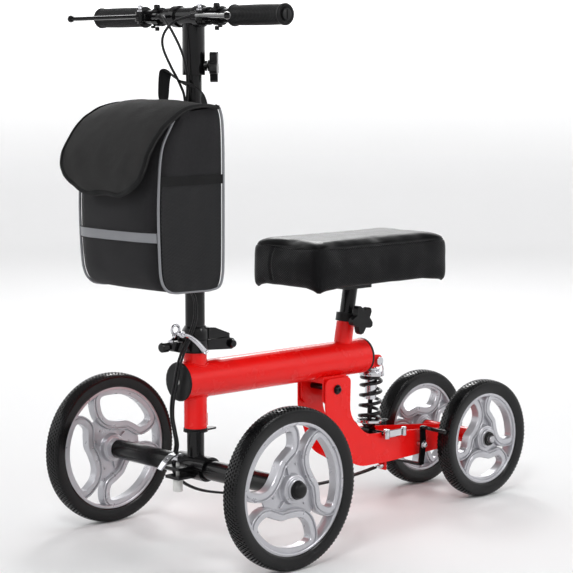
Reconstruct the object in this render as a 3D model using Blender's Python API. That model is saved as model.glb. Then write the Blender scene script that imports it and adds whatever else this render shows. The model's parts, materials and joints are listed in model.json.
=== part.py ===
"""Knee scooter: a steerable four-wheeled scooter with a padded knee rest.

Lengths are in millimetres and turned into metres when a part is added. X is the rider's left, +Y the
rear and +Z up. Places are measured from the ground under the middle of the front axle, and the empty
"body_frame" shifts the whole model so that the origin lies under the middle of its outline.
"""
import math

import bmesh
import bpy
from mathutils import Matrix, Vector

MM = 0.001
GAP = 0.3                       # clearance between touching pieces
FLAT_ANGLE = 0.003              # faces nearer to coplanar than this are merged after a boolean

# Wheels
WHEELBASE = 606.8
FRONT_RADIUS = 127.0            # ten inch wheels
REAR_RADIUS = 104.9
FRONT_WHEEL_X = 221.75
REAR_WHEEL_X = 75.75
TYRE_HALF_WIDTH = 15.0
HUB_HALF_WIDTH = 17.0
AXLE_RADIUS = 6.0
BEARING_RADIUS = 11.0
RIM_EDGE = {"front": 105.7, "rear": 83.0}

# Frame
MAIN_TUBE_Z = 269.0
MAIN_TUBE_RADIUS = 30.0
MAIN_TUBE_FRONT = -33.0
MAIN_TUBE_REAR = 375.0
HEAD_TUBE_RADIUS = 18.5
HEAD_TUBE_LOW = 191.0
HEAD_TUBE_TOP = 313.0
STEERING_RADIUS = 14.0
SEAT_LEAN = math.radians(10.6)
SEAT_AXIS_POINT = (0.0, 332.5, 299.8)
SEAT_POST_RADIUS = 12.7
CUSHION = dict(length=320.0, width=168.0, bottom=400.0, top=480.0, middle_y=351.5)
BAR_Z = 844.6
BAR_Y = -9.0
BAR_RADIUS = 11.1
MAST_RADIUS = 15.9
UPPER_MAST_RADIUS = 12.7
SLEEVE_LOW = 753.3
FRONT_AXLE_RADIUS = 16.0

# Bag hung on the front of the mast
BAG_HALF_WIDTH = 98.0
BAG_REAR = -24.0
BAG_LOW = 424.0
BAG_TOP = 702.0
FLAP_FRONT = -188.5
FLAP_HALF_WIDTH = 108.0

# Joint places: each moving body turns or slides about its own point
FOLD_PIN = (0.0, 62.0, 323.0)
SWING_PIVOT = (0.0, 284.0, 224.0)
SHOCK_TOP = (0.0, 404.0, 258.0)
SHOCK_BOTTOM = (0.0, 396.0, 134.0)
BRAKE_PIVOT = (0.0, 490.0, 103.0)
REAR_AXLE = (0.0, WHEELBASE, REAR_RADIUS)
AXLE_LEVER_PIN = (0.0, -38.0, 147.0)
AXLE_CAM_RADIUS = 7.5
FOLD_LEVER_PIN = (26.0, -50.0, 349.0)
FLAP_HINGE = (0.0, -34.0, 708.0)
SHOCK_LEVER_PIN = (42.0, 396.0, 134.0)
LEVER_PIVOT_X = 72.0
LEVER_PIVOT_Y = -49.0

# The outline runs from the bag's flap to the back of the rear tyres
FRONT_AXLE_Y = -(FLAP_FRONT + WHEELBASE + REAR_RADIUS) / 2

COLOURS = {                     # base colour, roughness, metallic
    "red_paint": ((0.72, 0.025, 0.02), 0.35, 0.0),
    "black_paint": ((0.022, 0.021, 0.023), 0.35, 0.0),
    "black_plastic": ((0.035, 0.034, 0.036), 0.5, 0.0),
    "white_plastic": ((0.75, 0.75, 0.74), 0.4, 0.0),
    "chrome": ((0.7, 0.7, 0.72), 0.18, 1.0),
    "steel": ((0.42, 0.42, 0.43), 0.35, 1.0),
    "silver_plastic": ((0.47, 0.47, 0.5), 0.45, 0.2),
    "rubber": ((0.02, 0.02, 0.021), 0.7, 0.0),
    "black_fabric": ((0.025, 0.025, 0.027), 0.9, 0.0),
    "black_vinyl": ((0.015, 0.015, 0.015), 0.4, 0.0),
}


# ---------------------------------------------------------------- scene, materials and bodies

def clear_scene():
    """Remove every object of the scene that this file opens in."""
    for old in list(bpy.data.objects):
        bpy.data.objects.remove(old, do_unlink=True)


def material(name):
    """The named material, made on first use."""
    found = bpy.data.materials.get(name)
    if found:
        return found
    colour, roughness, metallic = COLOURS[name]
    made = bpy.data.materials.new(name)
    made.use_nodes = True
    shader = made.node_tree.nodes["Principled BSDF"]
    shader.inputs["Base Color"].default_value = (*colour, 1.0)
    shader.inputs["Roughness"].default_value = roughness
    shader.inputs["Metallic"].default_value = metallic
    made.diffuse_color = (*colour, 1.0)
    return made


BODIES = {}


def body(name, parent, pivot):
    """An empty on a moving body's joint; its parts and child bodies hang from it."""
    empty = bpy.data.objects.new("body_" + name, None)
    empty.empty_display_size = 0.02
    bpy.context.scene.collection.objects.link(empty)
    pivot = Vector(pivot)
    if parent is None:
        empty.location = Vector((0.0, FRONT_AXLE_Y, 0.0)) * MM
    else:
        empty.parent = BODIES[parent][0]
        empty.location = (pivot - BODIES[parent][1]) * MM
    BODIES[name] = (empty, pivot)


def add_object(name, data, body_name, material_name):
    """Link an object under its body, with its material."""
    data.materials.append(material(material_name))
    made = bpy.data.objects.new(name, data)
    bpy.context.scene.collection.objects.link(made)
    made.parent = BODIES[body_name][0]
    return made


def add_part(name, bm, body_name, material_name, smooth_angle=40.0):
    """Turn a bmesh into a named part whose origin is its body's joint."""
    pivot = BODIES[body_name][1]
    bm.transform(Matrix.Scale(MM, 4) @ Matrix.Translation(-pivot))
    mesh = bpy.data.meshes.new(name)
    bm.to_mesh(mesh)
    bm.free()
    mesh.shade_smooth()
    mesh.set_sharp_from_angle(angle=math.radians(smooth_angle))
    return add_object(name, mesh, body_name, material_name)


# ---------------------------------------------------------------- shape helpers

def along_x(x=0.0, y=0.0, z=0.0):
    """Places a shape made about Z so that its axis lies along +X."""
    return Matrix.Translation((x, y, z)) @ Matrix.Rotation(math.pi / 2, 4, "Y")


def along_y(x=0.0, y=0.0, z=0.0):
    """Places a shape made about Z so that its axis lies along +Y."""
    return Matrix.Translation((x, y, z)) @ Matrix.Rotation(-math.pi / 2, 4, "X")


def leaning(point, angle):
    """Places a shape made about Z so that its axis leans rearward by an angle."""
    return Matrix.Translation(point) @ Matrix.Rotation(-angle, 4, "X")


def placed(bm, matrix):
    bm.transform(matrix)
    return bm


def skin_rings(bm, rings, closed):
    """Join neighbouring rings of vertices; a ring of one vertex is a tip."""
    pairs = list(zip(rings, rings[1:]))
    if closed:
        pairs.append((rings[-1], rings[0]))
    count = max(len(ring) for ring in rings)
    for lower, upper in pairs:
        for i in range(count):
            j = (i + 1) % count
            corners = [
                lower[i % len(lower)],
                lower[j % len(lower)],
                upper[j % len(upper)],
                upper[i % len(upper)],
            ]
            bm.faces.new(list(dict.fromkeys(corners)))


def lathe(profile, segments=16, closed=False):
    """Turn (radius, height) points about Z. A closed profile makes a ring."""
    bm = bmesh.new()
    rings = []
    for radius, height in profile:
        if radius < 1e-6:
            rings.append([bm.verts.new((0.0, 0.0, height))])
            continue
        angles = [2 * math.pi * i / segments for i in range(segments)]
        rings.append([bm.verts.new((radius * math.cos(a), radius * math.sin(a), height)) for a in angles])
    skin_rings(bm, rings, closed)
    bmesh.ops.recalc_face_normals(bm, faces=bm.faces)
    return bm


def two_ended(half, segments=16):
    """A turned piece that is the same at both ends, from the (radius, height) points of its upper half."""
    return lathe([(radius, -height) for radius, height in reversed(half)] + half, segments)


def rod(radius, low, high, segments=12):
    return lathe([(0, low), (radius, low), (radius, high), (0, high)], segments)


def ring(inner, outer, low, high, segments=18):
    return lathe([(inner, low), (outer, low), (outer, high), (inner, high)], segments, closed=True)


def box(low, high):
    """A block between two corners."""
    bm = bmesh.new()
    size = Vector(high) - Vector(low)
    middle = (Vector(high) + Vector(low)) / 2
    bmesh.ops.create_cube(bm, size=1.0, matrix=Matrix.Translation(middle) @ Matrix.Diagonal((*size, 1.0)))
    return bm


PLANES = {                      # where an outline's (u, v) and its depth go
    "X": lambda u, v, w: (w, u, v),
    "Y": lambda u, v, w: (u, w, v),
    "Z": lambda u, v, w: (u, v, w),
}


def prism(outline, low, high, axis="X"):
    """Extrude an outline along an axis. Along X the outline is (y, z), along Y it is (x, z)."""
    bm = bmesh.new()
    spot = PLANES[axis]
    ends = [[bm.verts.new(spot(u, v, w)) for u, v in outline] for w in (low, high)]
    bm.faces.new(ends[0])
    bm.faces.new(ends[1])
    skin_rings(bm, ends, closed=False)
    bmesh.ops.recalc_face_normals(bm, faces=bm.faces)
    return bm


def arc(centre, radius, start, end, steps=6):
    """Points along a circle from one angle to another, in degrees."""
    angles = [math.radians(start + (end - start) * i / steps) for i in range(steps + 1)]
    return [(centre[0] + radius * math.cos(a), centre[1] + radius * math.sin(a)) for a in angles]


def rounded(corners, steps=3):
    """An outline from (u, v, radius) corners, each corner turned into an arc."""
    points = []
    for i, (u, v, radius) in enumerate(corners):
        corner = Vector((u, v))
        before = (Vector(corners[i - 1][:2]) - corner).normalized()
        after = (Vector(corners[(i + 1) % len(corners)][:2]) - corner).normalized()
        if radius <= 0:
            points.append((u, v))
            continue
        half = before.angle(after) / 2
        reach = radius / math.tan(half)
        start = corner + before * reach
        end = corner + after * reach
        centre = corner + (before + after).normalized() * (radius / math.sin(half))
        for step in range(steps + 1):
            t = step / steps
            direction = (start - centre).lerp(end - centre, t).normalized()
            points.append(tuple(centre + direction * radius))
    return points


def smooth_path(points, per_span=6):
    """A Catmull-Rom curve through the points."""
    knots = [Vector(p) for p in points]
    knots = [2 * knots[0] - knots[1]] + knots + [2 * knots[-1] - knots[-2]]
    curve = []
    for a, b, c, d in zip(knots, knots[1:], knots[2:], knots[3:]):
        for step in range(per_span):
            t = step / per_span
            curve.append(0.5 * (2 * b + (c - a) * t + (2 * a - 5 * b + 4 * c - d) * t * t
                                + (3 * b - a - 3 * c + d) * t ** 3))
    curve.append(knots[-2])
    return curve


def sweep(path, section, up=(0.0, 0.0, 1.0)):
    """Sweep a closed (side, up) section along a path, with flat ends."""
    bm = bmesh.new()
    path = [Vector(p) for p in path]
    up = Vector(up)
    rings = []
    for i, point in enumerate(path):
        ahead = path[min(i + 1, len(path) - 1)] - path[max(i - 1, 0)]
        side = ahead.cross(up).normalized()
        top = side.cross(ahead).normalized()
        rings.append([bm.verts.new(point + side * s + top * t) for s, t in section])
    skin_rings(bm, rings, closed=False)
    bm.faces.new(rings[0])
    bm.faces.new(rings[-1])
    bmesh.ops.recalc_face_normals(bm, faces=bm.faces)
    return bm


def circle(radius, sides=10):
    return [(radius * math.cos(2 * math.pi * i / sides), radius * math.sin(2 * math.pi * i / sides))
            for i in range(sides)]


def rectangle(width, height):
    return [(u * width / 2, v * height / 2) for u, v in ((-1, -1), (1, -1), (1, 1), (-1, 1))]


def boolean(target, tool, operation):
    """Exact boolean of two bmeshes; both are used up."""
    pair = []
    for bm in (target, tool):
        bmesh.ops.triangulate(bm, faces=bm.faces)
        mesh = bpy.data.meshes.new("boolean")
        bm.to_mesh(mesh)
        bm.free()
        made = bpy.data.objects.new("boolean", mesh)
        bpy.context.scene.collection.objects.link(made)
        pair.append(made)
    modifier = pair[0].modifiers.new("boolean", "BOOLEAN")
    modifier.operation = operation
    modifier.object = pair[1]
    modifier.solver = "EXACT"
    result = bmesh.new()
    result.from_object(pair[0], bpy.context.evaluated_depsgraph_get())
    for made in pair:
        mesh = made.data
        bpy.data.objects.remove(made, do_unlink=True)
        bpy.data.meshes.remove(mesh)
    bmesh.ops.remove_doubles(result, verts=result.verts, dist=0.002)
    bmesh.ops.dissolve_limit(result, angle_limit=FLAT_ANGLE, verts=result.verts, edges=result.edges)
    return result


def join(first, *others):
    for other in others:
        first = boolean(first, other, "UNION")
    return first


def cut(first, *tools):
    for tool in tools:
        first = boolean(first, tool, "DIFFERENCE")
    return first


# ---------------------------------------------------------------- wheels

BEAN_OUTER = 0.885              # the openings' sizes are shares of the rim face's radius
BEAN_INNER = ((177, 0.70), (175, 0.56), (164, 0.46), (141, 0.44), (121, 0.51), (103, 0.57), (92, 0.65))


def bean_outline(face_radius, mirrored, turn):
    """One swirled opening of a rim, as (y, z) points round the hub."""
    polar = [(angle, BEAN_OUTER) for angle in range(98, 175, 15)]
    polar = [(92, 0.83)] + polar + list(BEAN_INNER)
    points = []
    for angle, share in polar:
        if mirrored:
            angle = 180 - angle
        theta = math.radians(angle + turn)
        points.append((face_radius * share * math.cos(theta), face_radius * share * math.sin(theta)))
    return points


def rim_shape(kind, phase):
    """Hub, web and outer band turned about X, with three swirled openings."""
    edge = RIM_EDGE[kind]
    profile = [(BEARING_RADIUS + GAP, -HUB_HALF_WIDTH), (20, -HUB_HALF_WIDTH), (23, -9), (edge - 0.4, -11.5),
               (edge - 0.4, 11.5), (23, 9), (20, HUB_HALF_WIDTH), (BEARING_RADIUS + GAP, HUB_HALF_WIDTH)]
    rim = placed(lathe(profile, 24, closed=True), along_x())
    for third in range(3):
        outline = bean_outline(edge * 0.97, kind == "rear", phase + 120 * third)
        rim = cut(rim, prism(outline, -30, 30))
    return rim


def tyre_shape(kind):
    """A solid rubber tyre: a tread band with rounded shoulders and a narrow bead."""
    radius = FRONT_RADIUS if kind == "front" else REAR_RADIUS
    bead = RIM_EDGE[kind] + GAP
    half = TYRE_HALF_WIDTH
    outer = [(bead, -half + 3), (radius - 7, -half), (radius, -half + 4)]
    profile = outer + [(r, -x) for r, x in reversed(outer)]
    return placed(lathe(profile, 36, closed=True), along_x())


def wheel(kind, side, body_name, phase):
    """Tyre, rim and bearing bush of one wheel, on the wheel's own body."""
    x = side * (FRONT_WHEEL_X if kind == "front" else REAR_WHEEL_X)
    y, z = (0.0, FRONT_RADIUS) if kind == "front" else REAR_AXLE[1:]
    centre = Matrix.Translation((x, y, z))
    add_part(body_name + "_tyre", placed(tyre_shape(kind), centre), body_name, "rubber")
    add_part(body_name + "_rim", placed(rim_shape(kind, phase), centre), body_name, "silver_plastic")
    bush = placed(ring(AXLE_RADIUS + GAP, BEARING_RADIUS, -16, 16, 12), along_x())
    add_part(body_name + "_bearing", placed(bush, centre), body_name, "steel")
    if kind == "front":
        cap = lathe([(0, 17.4), (14, 17.4), (14, 19), (12, 24.5), (7.5, 28), (0, 28.3)], 16)
        if side < 0:
            cap = placed(cap, Matrix.Rotation(math.pi, 4, "X"))
        add_part(body_name + "_cap", placed(cap, centre @ along_x()), body_name, "black_plastic")


# ---------------------------------------------------------------- main frame

def half_round(radius, inner, z_side, x):
    """A half ring about X over (z_side 1) or under (z_side -1) the front axle, x wide to each side."""
    outline = [(y, z_side * z) for y, z in arc((0, 0), radius, 2, 178, 12) + arc((0, 0), inner, 178, 2, 12)]
    return placed(prism(outline, -x, x), Matrix.Translation((0, 0, FRONT_RADIUS)))


def main_frame():
    tube = placed(ring(MAIN_TUBE_RADIUS - 2, MAIN_TUBE_RADIUS, MAIN_TUBE_FRONT, MAIN_TUBE_REAR, 24),
                  along_y(0, 0, MAIN_TUBE_Z))
    head = rod(HEAD_TUBE_RADIUS, HEAD_TUBE_LOW, HEAD_TUBE_TOP, 20)
    stop = box((-2, 16, HEAD_TUBE_LOW + 0.7), (2, 24, 212))
    socket = placed(rod(15.5, -33, 32, 16), leaning(SEAT_AXIS_POINT, SEAT_LEAN))
    bracket_web = box((-26.5, 260, 235.5), (26.5, 314, 246))
    frame = join(tube, head, stop, socket, bracket_web)
    plate = [(259, 243, 0), (259, 205, 8), (270, 195, 8), (306, 195, 8), (318, 207, 8), (318, 243, 0)]
    for side in (-1, 1):
        frame = join(frame, prism(rounded(plate), *sorted((side * 25, side * 28))))
    lug = [(346, 242.9), (372.5, 242.9), (396, 248.1)]
    lug += arc(SHOCK_TOP[1:], 11, -80, 70)
    lug += [(374, 272), (369.5, 276), (362, 291.3), (346, 291.3)]
    for side in (-1, 1):
        frame = join(frame, prism(lug, *sorted((side * 11.2, side * 14.4))))
    seat_bore = placed(rod(SEAT_POST_RADIUS + GAP, -95, 60, 16), leaning(SEAT_AXIS_POINT, SEAT_LEAN))
    head_bore = rod(16.0, HEAD_TUBE_LOW - 5, HEAD_TUBE_TOP + 5, 20)
    pivot_bore = placed(rod(5.3, -60, 60, 12), along_x(*SWING_PIVOT))
    shock_bore = placed(rod(4.3, -40, 40, 12), along_x(*SHOCK_TOP))
    frame = cut(frame, head_bore, seat_bore, pivot_bore, shock_bore)
    add_part("main_frame", frame, "frame", "red_paint", 30)


def frame_fittings():
    bore = MAIN_TUBE_RADIUS - 2 - GAP
    front = lathe([(0, -3.6), (26, -3.6), (31, -2.6), (31.8, -0.3), (bore, -0.3), (bore, 8), (0, 8)], 24)
    add_part("front_end_cap", placed(front, along_y(0, MAIN_TUBE_FRONT, MAIN_TUBE_Z)), "frame",
             "black_plastic")
    rear = lathe([(0, -4), (bore, -4), (bore, 0.3), (30.6, 0.3), (30.6, 4), (27, 6.3), (0, 6.3)], 24)
    rear = placed(rear, along_y(0, MAIN_TUBE_REAR, MAIN_TUBE_Z))
    slot = box((-15.5, 360, 230), (15.5, 400, 278))
    add_part("rear_end_cap", cut(rear, slot), "frame", "black_plastic")
    inner = STEERING_RADIUS + GAP
    lower = lathe([(inner, 188), (19.5, 188), (19.5, 190.7), (15.7, 190.7), (15.7, 205), (inner, 205)], 16,
                  closed=True)
    add_part("headset_lower", lower, "frame", "black_plastic")
    upper = lathe([(inner, 299), (15.7, 299), (15.7, 313.3), (19.5, 313.3), (19.5, 316), (inner, 316)], 16,
                  closed=True)
    add_part("headset_upper", upper, "frame", "black_plastic")
    knob_axis = along_x(0, 0, 39.5)
    collar = join(rod(18, 32.4, 47, 18), placed(rod(7, 4, 26), knob_axis))
    collar = cut(collar, rod(SEAT_POST_RADIUS + GAP, 20, 60, 16), placed(rod(4.3, 0, 40, 10), knob_axis))
    add_part("seat_collar", placed(collar, leaning(SEAT_AXIS_POINT, SEAT_LEAN)), "frame", "black_plastic")
    head = [(5, 35.8), (8.5, 35.8), (8.5, 38.5), (5.5, 41), (0, 41.5)]
    bolt = placed(two_ended(head, 14), along_x(*SWING_PIVOT))
    add_part("swingarm_pivot_bolt", bolt, "frame", "black_paint")
    head = [(4, 14.7), (7.5, 14.7), (7.5, 20), (0, 20)]
    add_part("shock_top_bolt", placed(two_ended(head, 12), along_x(*SHOCK_TOP)), "frame", "chrome")


def star_knob(lobes, reach, thickness, screw):
    """A lobed clamping knob about Z: its screw points down, its back is at height 0."""
    outline = []
    for i in range(lobes * 6):
        turn = 2 * math.pi * i / (lobes * 6)
        swell = 0.5 + 0.5 * math.cos(lobes * turn)
        radius = reach * (0.62 + 0.38 * swell ** 0.8)
        outline.append((radius * math.cos(turn), radius * math.sin(turn)))
    knob = prism(outline, 4, 4 + thickness, "Z")
    hub = lathe([(0, -screw), (4, -screw), (4, 0.5), (9, 0.5), (9, 5), (0, 5)], 12)
    return join(knob, hub)


def seat_knob():
    screw_point = leaning(SEAT_AXIS_POINT, SEAT_LEAN) @ Matrix.Translation((0, 0, 39.5))
    place = screw_point @ along_x(26.5)
    add_part("seat_knob", placed(star_knob(5, 26, 11, 11), place), "seat_knob", "black_plastic")


# ---------------------------------------------------------------- seat

def seat_parts():
    lean = leaning(SEAT_AXIS_POINT, SEAT_LEAN)
    post = placed(ring(SEAT_POST_RADIUS - 2, SEAT_POST_RADIUS, -100, 92, 16), lean)
    post = cut(post, box((-30, 300, 388.8), (30, 400, 420)))
    add_part("seat_post", post, "seat", "black_paint")
    top_y = SEAT_AXIS_POINT[1] + math.tan(SEAT_LEAN) * 90
    plate = join(box((-45, 262, 400.5), (45, 440, 403.5)), box((-60, 225, 403.4), (60, 478, 409)),
                 box((-22, top_y - 30, 389.1), (22, top_y + 30, 400.6)))
    add_part("seat_plate", plate, "seat", "black_paint")
    add_part("seat_cushion", cushion(), "seat", "black_vinyl")


def cushion():
    """A block with rounded corners and a crowned top, hollowed below for the seat plate."""
    c = CUSHION
    half_x = c["width"] / 2
    half_y = c["length"] / 2
    height = c["top"] - c["bottom"]
    layers = ((0, 0.5), (height * 0.2, 0), (height * 0.82, 0), (height * 0.94, 3.5), (height, 12))
    bm = bmesh.new()
    rings = []
    for rise, inset in layers:
        x, y = half_x - inset, half_y - inset
        outline = rounded([(-x, -y, 16), (x, -y, 16), (x, y, 16), (-x, y, 16)], 4)
        rings.append([bm.verts.new((u, c["middle_y"] + v, c["bottom"] + rise)) for u, v in outline])
    skin_rings(bm, rings, closed=False)
    bm.faces.new(rings[0])
    bm.faces.new(rings[-1])
    bmesh.ops.recalc_face_normals(bm, faces=bm.faces)
    return cut(bm, box((-61, 224, c["bottom"] - 5), (61, 479, 409.3)))


# ---------------------------------------------------------------- swingarm, shock and rear brake

ARM_FRONT_X = 35.0
ARM_REAR_X = 24.0
ARM_WALL = 3.0
ARM_CREASE_Y = 414.0


def arm_x(y):
    """Outer face of a swingarm plate: straight at the front, drawing in behind the crease."""
    if y < ARM_CREASE_Y:
        return ARM_FRONT_X
    return ARM_FRONT_X + (ARM_REAR_X - ARM_FRONT_X) * (y - ARM_CREASE_Y) / (WHEELBASE - ARM_CREASE_Y)


def arm_plate(side):
    """One J-shaped plate, flat up to the crease and bent inward behind it."""
    corners = [(258, 243, 9), (258, 190, 40), (286, 112, 60), (340, 83, 60), (ARM_CREASE_Y, 83, 0),
               (560, 86, 0), (598, 94, 0), (598, 117, 0), (560, 122, 0), (ARM_CREASE_Y, 135.5, 0),
               (355, 137, 40), (315, 175, 40), (317, 243, 9)]
    bm = prism(rounded(corners, 4), 0, ARM_WALL)
    bmesh.ops.bisect_plane(bm, geom=[*bm.verts, *bm.edges, *bm.faces], plane_co=(0, ARM_CREASE_Y, 0),
                           plane_no=(0, 1, 0))
    for vert in bm.verts:
        vert.co.x = side * (arm_x(vert.co.y) - vert.co.x)
    bmesh.ops.recalc_face_normals(bm, faces=bm.faces)
    return bm


def swingarm():
    arm = join(arm_plate(1), arm_plate(-1))
    web = [(-33, 372), (33, 372), (33, ARM_CREASE_Y), (24, 575), (-24, 575), (-33, ARM_CREASE_Y)]
    arm = join(arm, prism(web, 85.5, 88.5, "Z"))
    housing = placed(rod(14, -57.5, 57.5, 20), along_x(*REAR_AXLE))
    tab = box((-7, 431, 60), (7, 434, 87))
    arm = join(arm, housing, tab)
    bores = [placed(rod(AXLE_RADIUS + GAP, -80, 80, 14), along_x(*REAR_AXLE)),
             placed(rod(5.3, -60, 60, 12), along_x(*SWING_PIVOT)),
             placed(rod(4.3, -60, 60, 10), along_x(*SHOCK_BOTTOM)),
             placed(rod(4.3, -60, 60, 10), along_x(*BRAKE_PIVOT)),
             placed(rod(3.2, 425, 440, 12), along_y(0, 0, 67.5))]
    add_part("swingarm", cut(arm, *bores), "swingarm", "red_paint", 30)
    end = [(AXLE_RADIUS, 93.1), (11, 93.1), (11, 95.6), (6.5, 95.6), (6.5, 101), (5, 103), (0, 103)]
    add_part("rear_axle", placed(two_ended(end, 14), along_x(*REAR_AXLE)), "swingarm", "steel")
    adjuster = lathe([(0, -16), (2, -16), (2, -10), (4, -10), (5, -8), (5, -0.4), (2.9, -0.4), (2.9, 3.4),
                      (5, 3.4), (5, 7), (3, 8), (0, 8)], 10)
    add_part("rear_cable_adjuster", placed(adjuster, along_y(0, 431, 67.5)), "swingarm", "chrome")
    head = [(4, 44.3), (6.2, 44.3), (6.2, 46.8), (4, 49), (0, 50)]
    add_part("brake_pivot_bolt", placed(two_ended(head, 12), along_x(*BRAKE_PIVOT)), "swingarm", "chrome")
    knob = [(0, -49), (10, -49), (12, -47), (12, -38), (9, -35.5), (4, -35.5), (4, 37.2), (0, 37.2)]
    add_part("shock_bottom_bolt", placed(lathe(knob, 14), along_x(*SHOCK_BOTTOM)), "swingarm", "black_paint")


def shock_lever():
    """Cam end and thin lever of the quick release on the shock's lower bolt."""
    cam = placed(rod(9, -4.4, 5, 14), along_x(*SHOCK_LEVER_PIN))
    x, y, z = SHOCK_LEVER_PIN
    blade = smooth_path([(x, y, z), (x + 2.5, y + 18, z + 0.5), (x + 1, y + 34, z), (x + 2.5, y + 47, z)], 4)
    add_part("shock_lever", join(cam, sweep(blade, rectangle(3, 11))), "shock_lever", "chrome")


def shock_frame():
    """Matrix from the shock's own axis (down along -Z from its top bolt) to the scooter."""
    top = Vector(SHOCK_TOP)
    down = Vector(SHOCK_BOTTOM) - top
    lean = math.atan2(-down.y, -down.z)
    return Matrix.Translation(top) @ Matrix.Rotation(-lean, 4, "X"), down.length


SPRING_TURNS = 5
SPRING_WIRE = 2.7
SPRING_RADIUS = 17.5


def spring(low, high, sides=5, per_turn=12):
    """An open coil with flat-cut ends, standing on Z."""
    count = SPRING_TURNS * per_turn
    bm = bmesh.new()
    rings = []
    for i in range(count + 1):
        turn = 2 * math.pi * i / per_turn
        out = Vector((math.cos(turn), math.sin(turn), 0))
        centre = out * SPRING_RADIUS + Vector((0, 0, low + (high - low) * i / count))
        wire = [centre + out * u + Vector((0, 0, v)) for u, v in circle(SPRING_WIRE, sides)]
        rings.append([bm.verts.new(point) for point in wire])
    skin_rings(bm, rings, closed=False)
    bm.faces.new(rings[0])
    bm.faces.new(rings[-1])
    bmesh.ops.recalc_face_normals(bm, faces=bm.faces)
    return bm


def shock():
    place, length = shock_frame()
    damper = lathe([(0, -7), (8, -7), (10, -11), (10.5, -12.8), (14, -13.5), (14, -17), (10.5, -17.5),
                    (10.5, -18), (21, -18), (21, -27), (10.5, -27), (10.5, -68), (4.7, -68), (4.7, -20),
                    (0, -20)], 20)
    damper = cut(join(damper, placed(rod(9, -9, 9, 16), along_x())), placed(rod(4.3, -20, 20, 12), along_x()))
    add_part("shock_damper", placed(damper, place), "shock_body", "chrome")
    coil = spring(-103.5 + SPRING_WIRE, -27.4 - SPRING_WIRE)
    add_part("shock_spring", placed(coil, place), "shock_body", "black_paint")
    seat = lathe([(0, -48), (4.25, -48), (4.25, -104), (21, -104), (21, -109), (13, -109), (13, -112),
                  (9, -117.3), (0, -117.3)], 20)
    seat = join(seat, placed(rod(9.3, -8.5, 8.5, 16), along_x(0, 0, -length)))
    eye = cut(seat, placed(rod(5.2, -20, 20, 12), along_x(0, 0, -length)))
    add_part("shock_rod", placed(eye, place), "shock_rod", "black_paint")


def rear_brake():
    """A yoke: two flat arms, a bar over each tyre at the top and a crossbar under the swingarm."""
    x, y, z = 42.0, BRAKE_PIVOT[1], BRAKE_PIVOT[2]
    yoke = None
    for side in (-1, 1):
        strap = rounded([(y - 11, z - 36, 2), (y + 1, z - 36, 2), (y + 7, z, 12), (y + 4, z + 33, 2),
                         (y - 8, z + 33, 2), (y - 7, z, 12)], 3)
        arm = prism(strap, *sorted((side * (x - 1.5), side * (x + 1.5))))
        route = ((40.6, -2, 31), (52, -1.5, 31), (62, 3.5, 29), (90, 5, 28))
        bar = smooth_path([(side * out, y + back, z + rise) for out, back, rise in route], 3)
        arm = join(arm, sweep(bar, circle(3.6, 8)))
        yoke = arm if yoke is None else join(yoke, arm)
    yoke = join(yoke, box((-43, y - 10, z - 36.5), (43, y - 1, z - 32.5)))
    yoke = cut(yoke, placed(rod(4.3, -60, 60, 10), along_x(0, y, z)))
    add_part("rear_brake_yoke", yoke, "rear_brake", "black_paint")


# ---------------------------------------------------------------- steering column and folding joint

def steering():
    tube = rod(STEERING_RADIUS, 144.5, 331, 18)
    jaw = half_round(20.5, FRONT_AXLE_RADIUS + GAP, 1, 38)
    column = join(jaw, tube, box((-17, -50, 128.4), (17, -17, 133.5)), box((-14, 17, 130), (14, 33, 137)))
    bolt_hole = Matrix.Translation((0, AXLE_LEVER_PIN[1], 0))
    column = cut(column, rod(12, 150, 340, 18), placed(rod(3.3, 120, 140, 12), bolt_hole))
    add_part("steering_tube", column, "steering", "black_paint")
    jaw = join(half_round(20.5, FRONT_AXLE_RADIUS + GAP, -1, 30),
               box((-17, -50, 113.5), (17, -15, 118.5)), box((-12, 4, 104.5), (12, 32, 109)))
    jaw = cut(jaw, placed(rod(3.3, 100, 130, 12), bolt_hole))
    add_part("axle_clamp_jaw", jaw, "steering", "black_paint")
    end = [(FRONT_AXLE_RADIUS, 204), (AXLE_RADIUS, 204), (AXLE_RADIUS, 237), (2.5, 237), (2.5, 200),
           (13.5, 194)]
    axle = lathe([(radius, -x) for radius, x in reversed(end)] + end, 18, closed=True)
    add_part("front_axle", placed(axle, along_x(0, 0, FRONT_RADIUS)), "steering", "black_paint")
    ring_low = HEAD_TUBE_LOW - 6.3
    tab = rounded([(-9, 15, 0), (9, 15, 0), (6, 40, 3), (-6, 40, 3)], 3)
    stop = join(ring(STEERING_RADIUS + 1, 20, ring_low, ring_low + 3),
                prism(tab, ring_low, ring_low + 3, "Z"))
    stop = cut(stop, rod(STEERING_RADIUS + GAP, 170, 200, 24))
    add_part("steer_stop", stop, "steering", "black_paint")
    top = AXLE_LEVER_PIN[2] - AXLE_CAM_RADIUS - GAP
    bolt = lathe([(0, 92), (7, 92), (8, 94), (8, 111.5), (6, 113.2), (2.9, 113.2), (2.9, top), (0, top)], 16)
    add_part("axle_release_bolt", placed(bolt, bolt_hole), "steering", "white_plastic")


def axle_release_lever():
    """Cam on the release bolt with a curved, tapering lever that lies forward and down."""
    x, y, z = AXLE_LEVER_PIN
    cam = placed(rod(AXLE_CAM_RADIUS, -8, 8, 20), along_x(x, y, z))
    route = ((0, 2, 6), (0, -12, 5), (0, -26, -4), (-2, -36, -15))
    blade = smooth_path([(x + out, y + back, z + rise) for out, back, rise in route], 4)
    lever = join(cam, sweep(blade, rectangle(14, 2.6)))
    holes = [placed(rod(2.2, -15, 15, 10), Matrix.Translation((x, y + back, z))) for back in (-14, -22)]
    lever = cut(lever, *holes)
    add_part("axle_release_lever", lever, "axle_lever", "chrome")


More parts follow.
